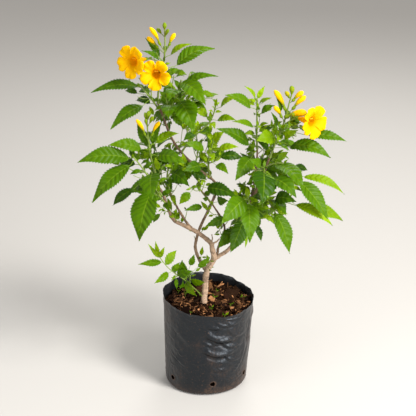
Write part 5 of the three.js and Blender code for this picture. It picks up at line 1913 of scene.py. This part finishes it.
class BuildLeaves(bpy.types.Operator):
    """Build the leaves on the left, on the right and at the back"""

    bl_idname = "yellow_bells.build_leaves"
    bl_label = "Leaves"

    def execute(self, context):
        settings = context.scene.yellow_bells_leaf
        look = leaf_look(settings)
        for label in ("left", "right", "back"):
            names = [row["name"] for row in SHOOTS if leaf_piece(row) == label]
            piece = leaf_sheaf(names, settings.tooth / MM).build(f"leaves_{label}")
            hand_over(piece, look, "leaf", *names)
        return {"FINISHED"}


class BuildBlossom(bpy.types.Operator):
    """Build the open flowers and the buds"""

    bl_idname = "yellow_bells.build_blossom"
    bl_label = "Flowers and buds"

    def execute(self, context):
        settings = context.scene.yellow_bells_blossom
        look = blossom_look(settings)
        hand_over(flower_sheaf(settings.ruffle / MM).build("flowers"), look, "flower")
        hand_over(bud_sheaf().build("buds"), look, "flower")
        return {"FINISHED"}


class BuildStage(bpy.types.Operator):
    """Set the floor, the soft studio light and the camera"""

    bl_idname = "yellow_bells.build_stage"
    bl_label = "Stage"

    def execute(self, context):
        settings = context.scene.yellow_bells_stage
        add_floor(settings)
        add_lights(context.scene, settings)
        add_camera(context.scene)
        context.scene.view_settings.view_transform = "Standard"
        return {"FINISHED"}


# Lights, in metres: place, diameter and tint. All look at the target.

TARGET = (0, 0, 0.28)
LIGHTS = {
    "key": ((0.95, -0.85, 1.75), 0.55, (1.0, 0.97, 0.92)),
    "fill": ((-1.3, -1.0, 1.1), 1.2, (0.92, 0.96, 1.0)),
    "strip": ((1.35, -1.25, 0.75), 1.0, (0.97, 0.98, 1.0)),
    "rim": ((0.3, 1.5, 1.6), 0.9, (1.0, 0.99, 0.96)),
}
SKY_TINT = (1.0, 0.97, 0.93, 1)
FLOOR_DROP = 0.0005


def add_floor(settings):
    """The floor lies a hair below the base, so that the two never share a plane."""
    bpy.ops.mesh.primitive_plane_add(size=settings.floor_size, location=(0, 0, -FLOOR_DROP))
    floor = bpy.context.object
    floor.name = "floor"
    floor.data.materials.append(floor_look(settings))


def add_lights(scene, settings):
    world = bpy.data.worlds.new("studio")
    scene.world = world
    world.use_nodes = True
    background = world.node_tree.nodes["Background"]
    background.inputs["Color"].default_value = SKY_TINT
    background.inputs["Strength"].default_value = settings.sky
    for name, (place, size, tint) in LIGHTS.items():
        add_light(name, place, size, tint, getattr(settings, name))


def add_light(name, place, size, tint, power):
    light = bpy.data.lights.new(name, "AREA")
    light.shape = "DISK"
    light.size = size
    light.energy = power
    light.color = tint
    lamp = bpy.data.objects.new(name, light)
    lamp.location = place
    away = np.array(place) - np.array(TARGET)
    flat = math.hypot(away[0], away[1])
    lamp.rotation_euler = (math.atan2(flat, away[2]), 0, math.atan2(away[1], away[0]) + math.pi / 2)
    bpy.context.scene.collection.objects.link(lamp)


# The photograph's width and focal length in pixels, and the sensor in millimetres

PHOTO_WIDTH = 416
FOCAL_PIXELS = 1100
SENSOR = 36
NEAREST = 0.05


def add_camera(scene):
    """The camera stands where the photograph was taken from."""
    lens = bpy.data.cameras.new("view")
    lens.sensor_width = SENSOR
    lens.lens = SENSOR * (FOCAL_PIXELS / PHOTO_WIDTH)
    lens.clip_start = NEAREST
    camera = bpy.data.objects.new("view", lens)
    camera.location = CAMERA_PLACE * MM
    camera.rotation_euler = (radians(90 - CAMERA_DIP), 0, 0)
    scene.collection.objects.link(camera)
    scene.camera = camera


OPERATORS = (BuildBag, BuildSoil, BuildLimbs, BuildLeaves, BuildBlossom, BuildStage)


class YellowBellsPanel(bpy.types.Panel):
    """Settings and pieces of the potted yellow bells"""

    bl_idname = "VIEW3D_PT_yellow_bells"
    bl_label = "Potted yellow bells"
    bl_space_type = "VIEW_3D"
    bl_region_type = "UI"
    bl_category = "Yellow bells"

    def draw(self, context):
        for operator, group in zip(OPERATORS, GROUPS):
            box = self.layout.box()
            for name in GROUPS[group].__annotations__:
                box.prop(getattr(context.scene, group), name)
            box.operator(operator.bl_idname)


CLASSES = (*GROUPS.values(), *OPERATORS, YellowBellsPanel)


def register():
    for cls in CLASSES:
        bpy.utils.register_class(cls)
    for name, group in GROUPS.items():
        setattr(bpy.types.Scene, name, bpy.props.PointerProperty(type=group))


def unregister():
    for name in GROUPS:
        delattr(bpy.types.Scene, name)
    for cls in reversed(CLASSES):
        bpy.utils.unregister_class(cls)


def main():
    register()
    for operator in OPERATORS:
        family, name = operator.bl_idname.split(".")
        getattr(getattr(bpy.ops, family), name)()
    bpy.context.view_layer.update()


if __name__ == "__main__":
    main()
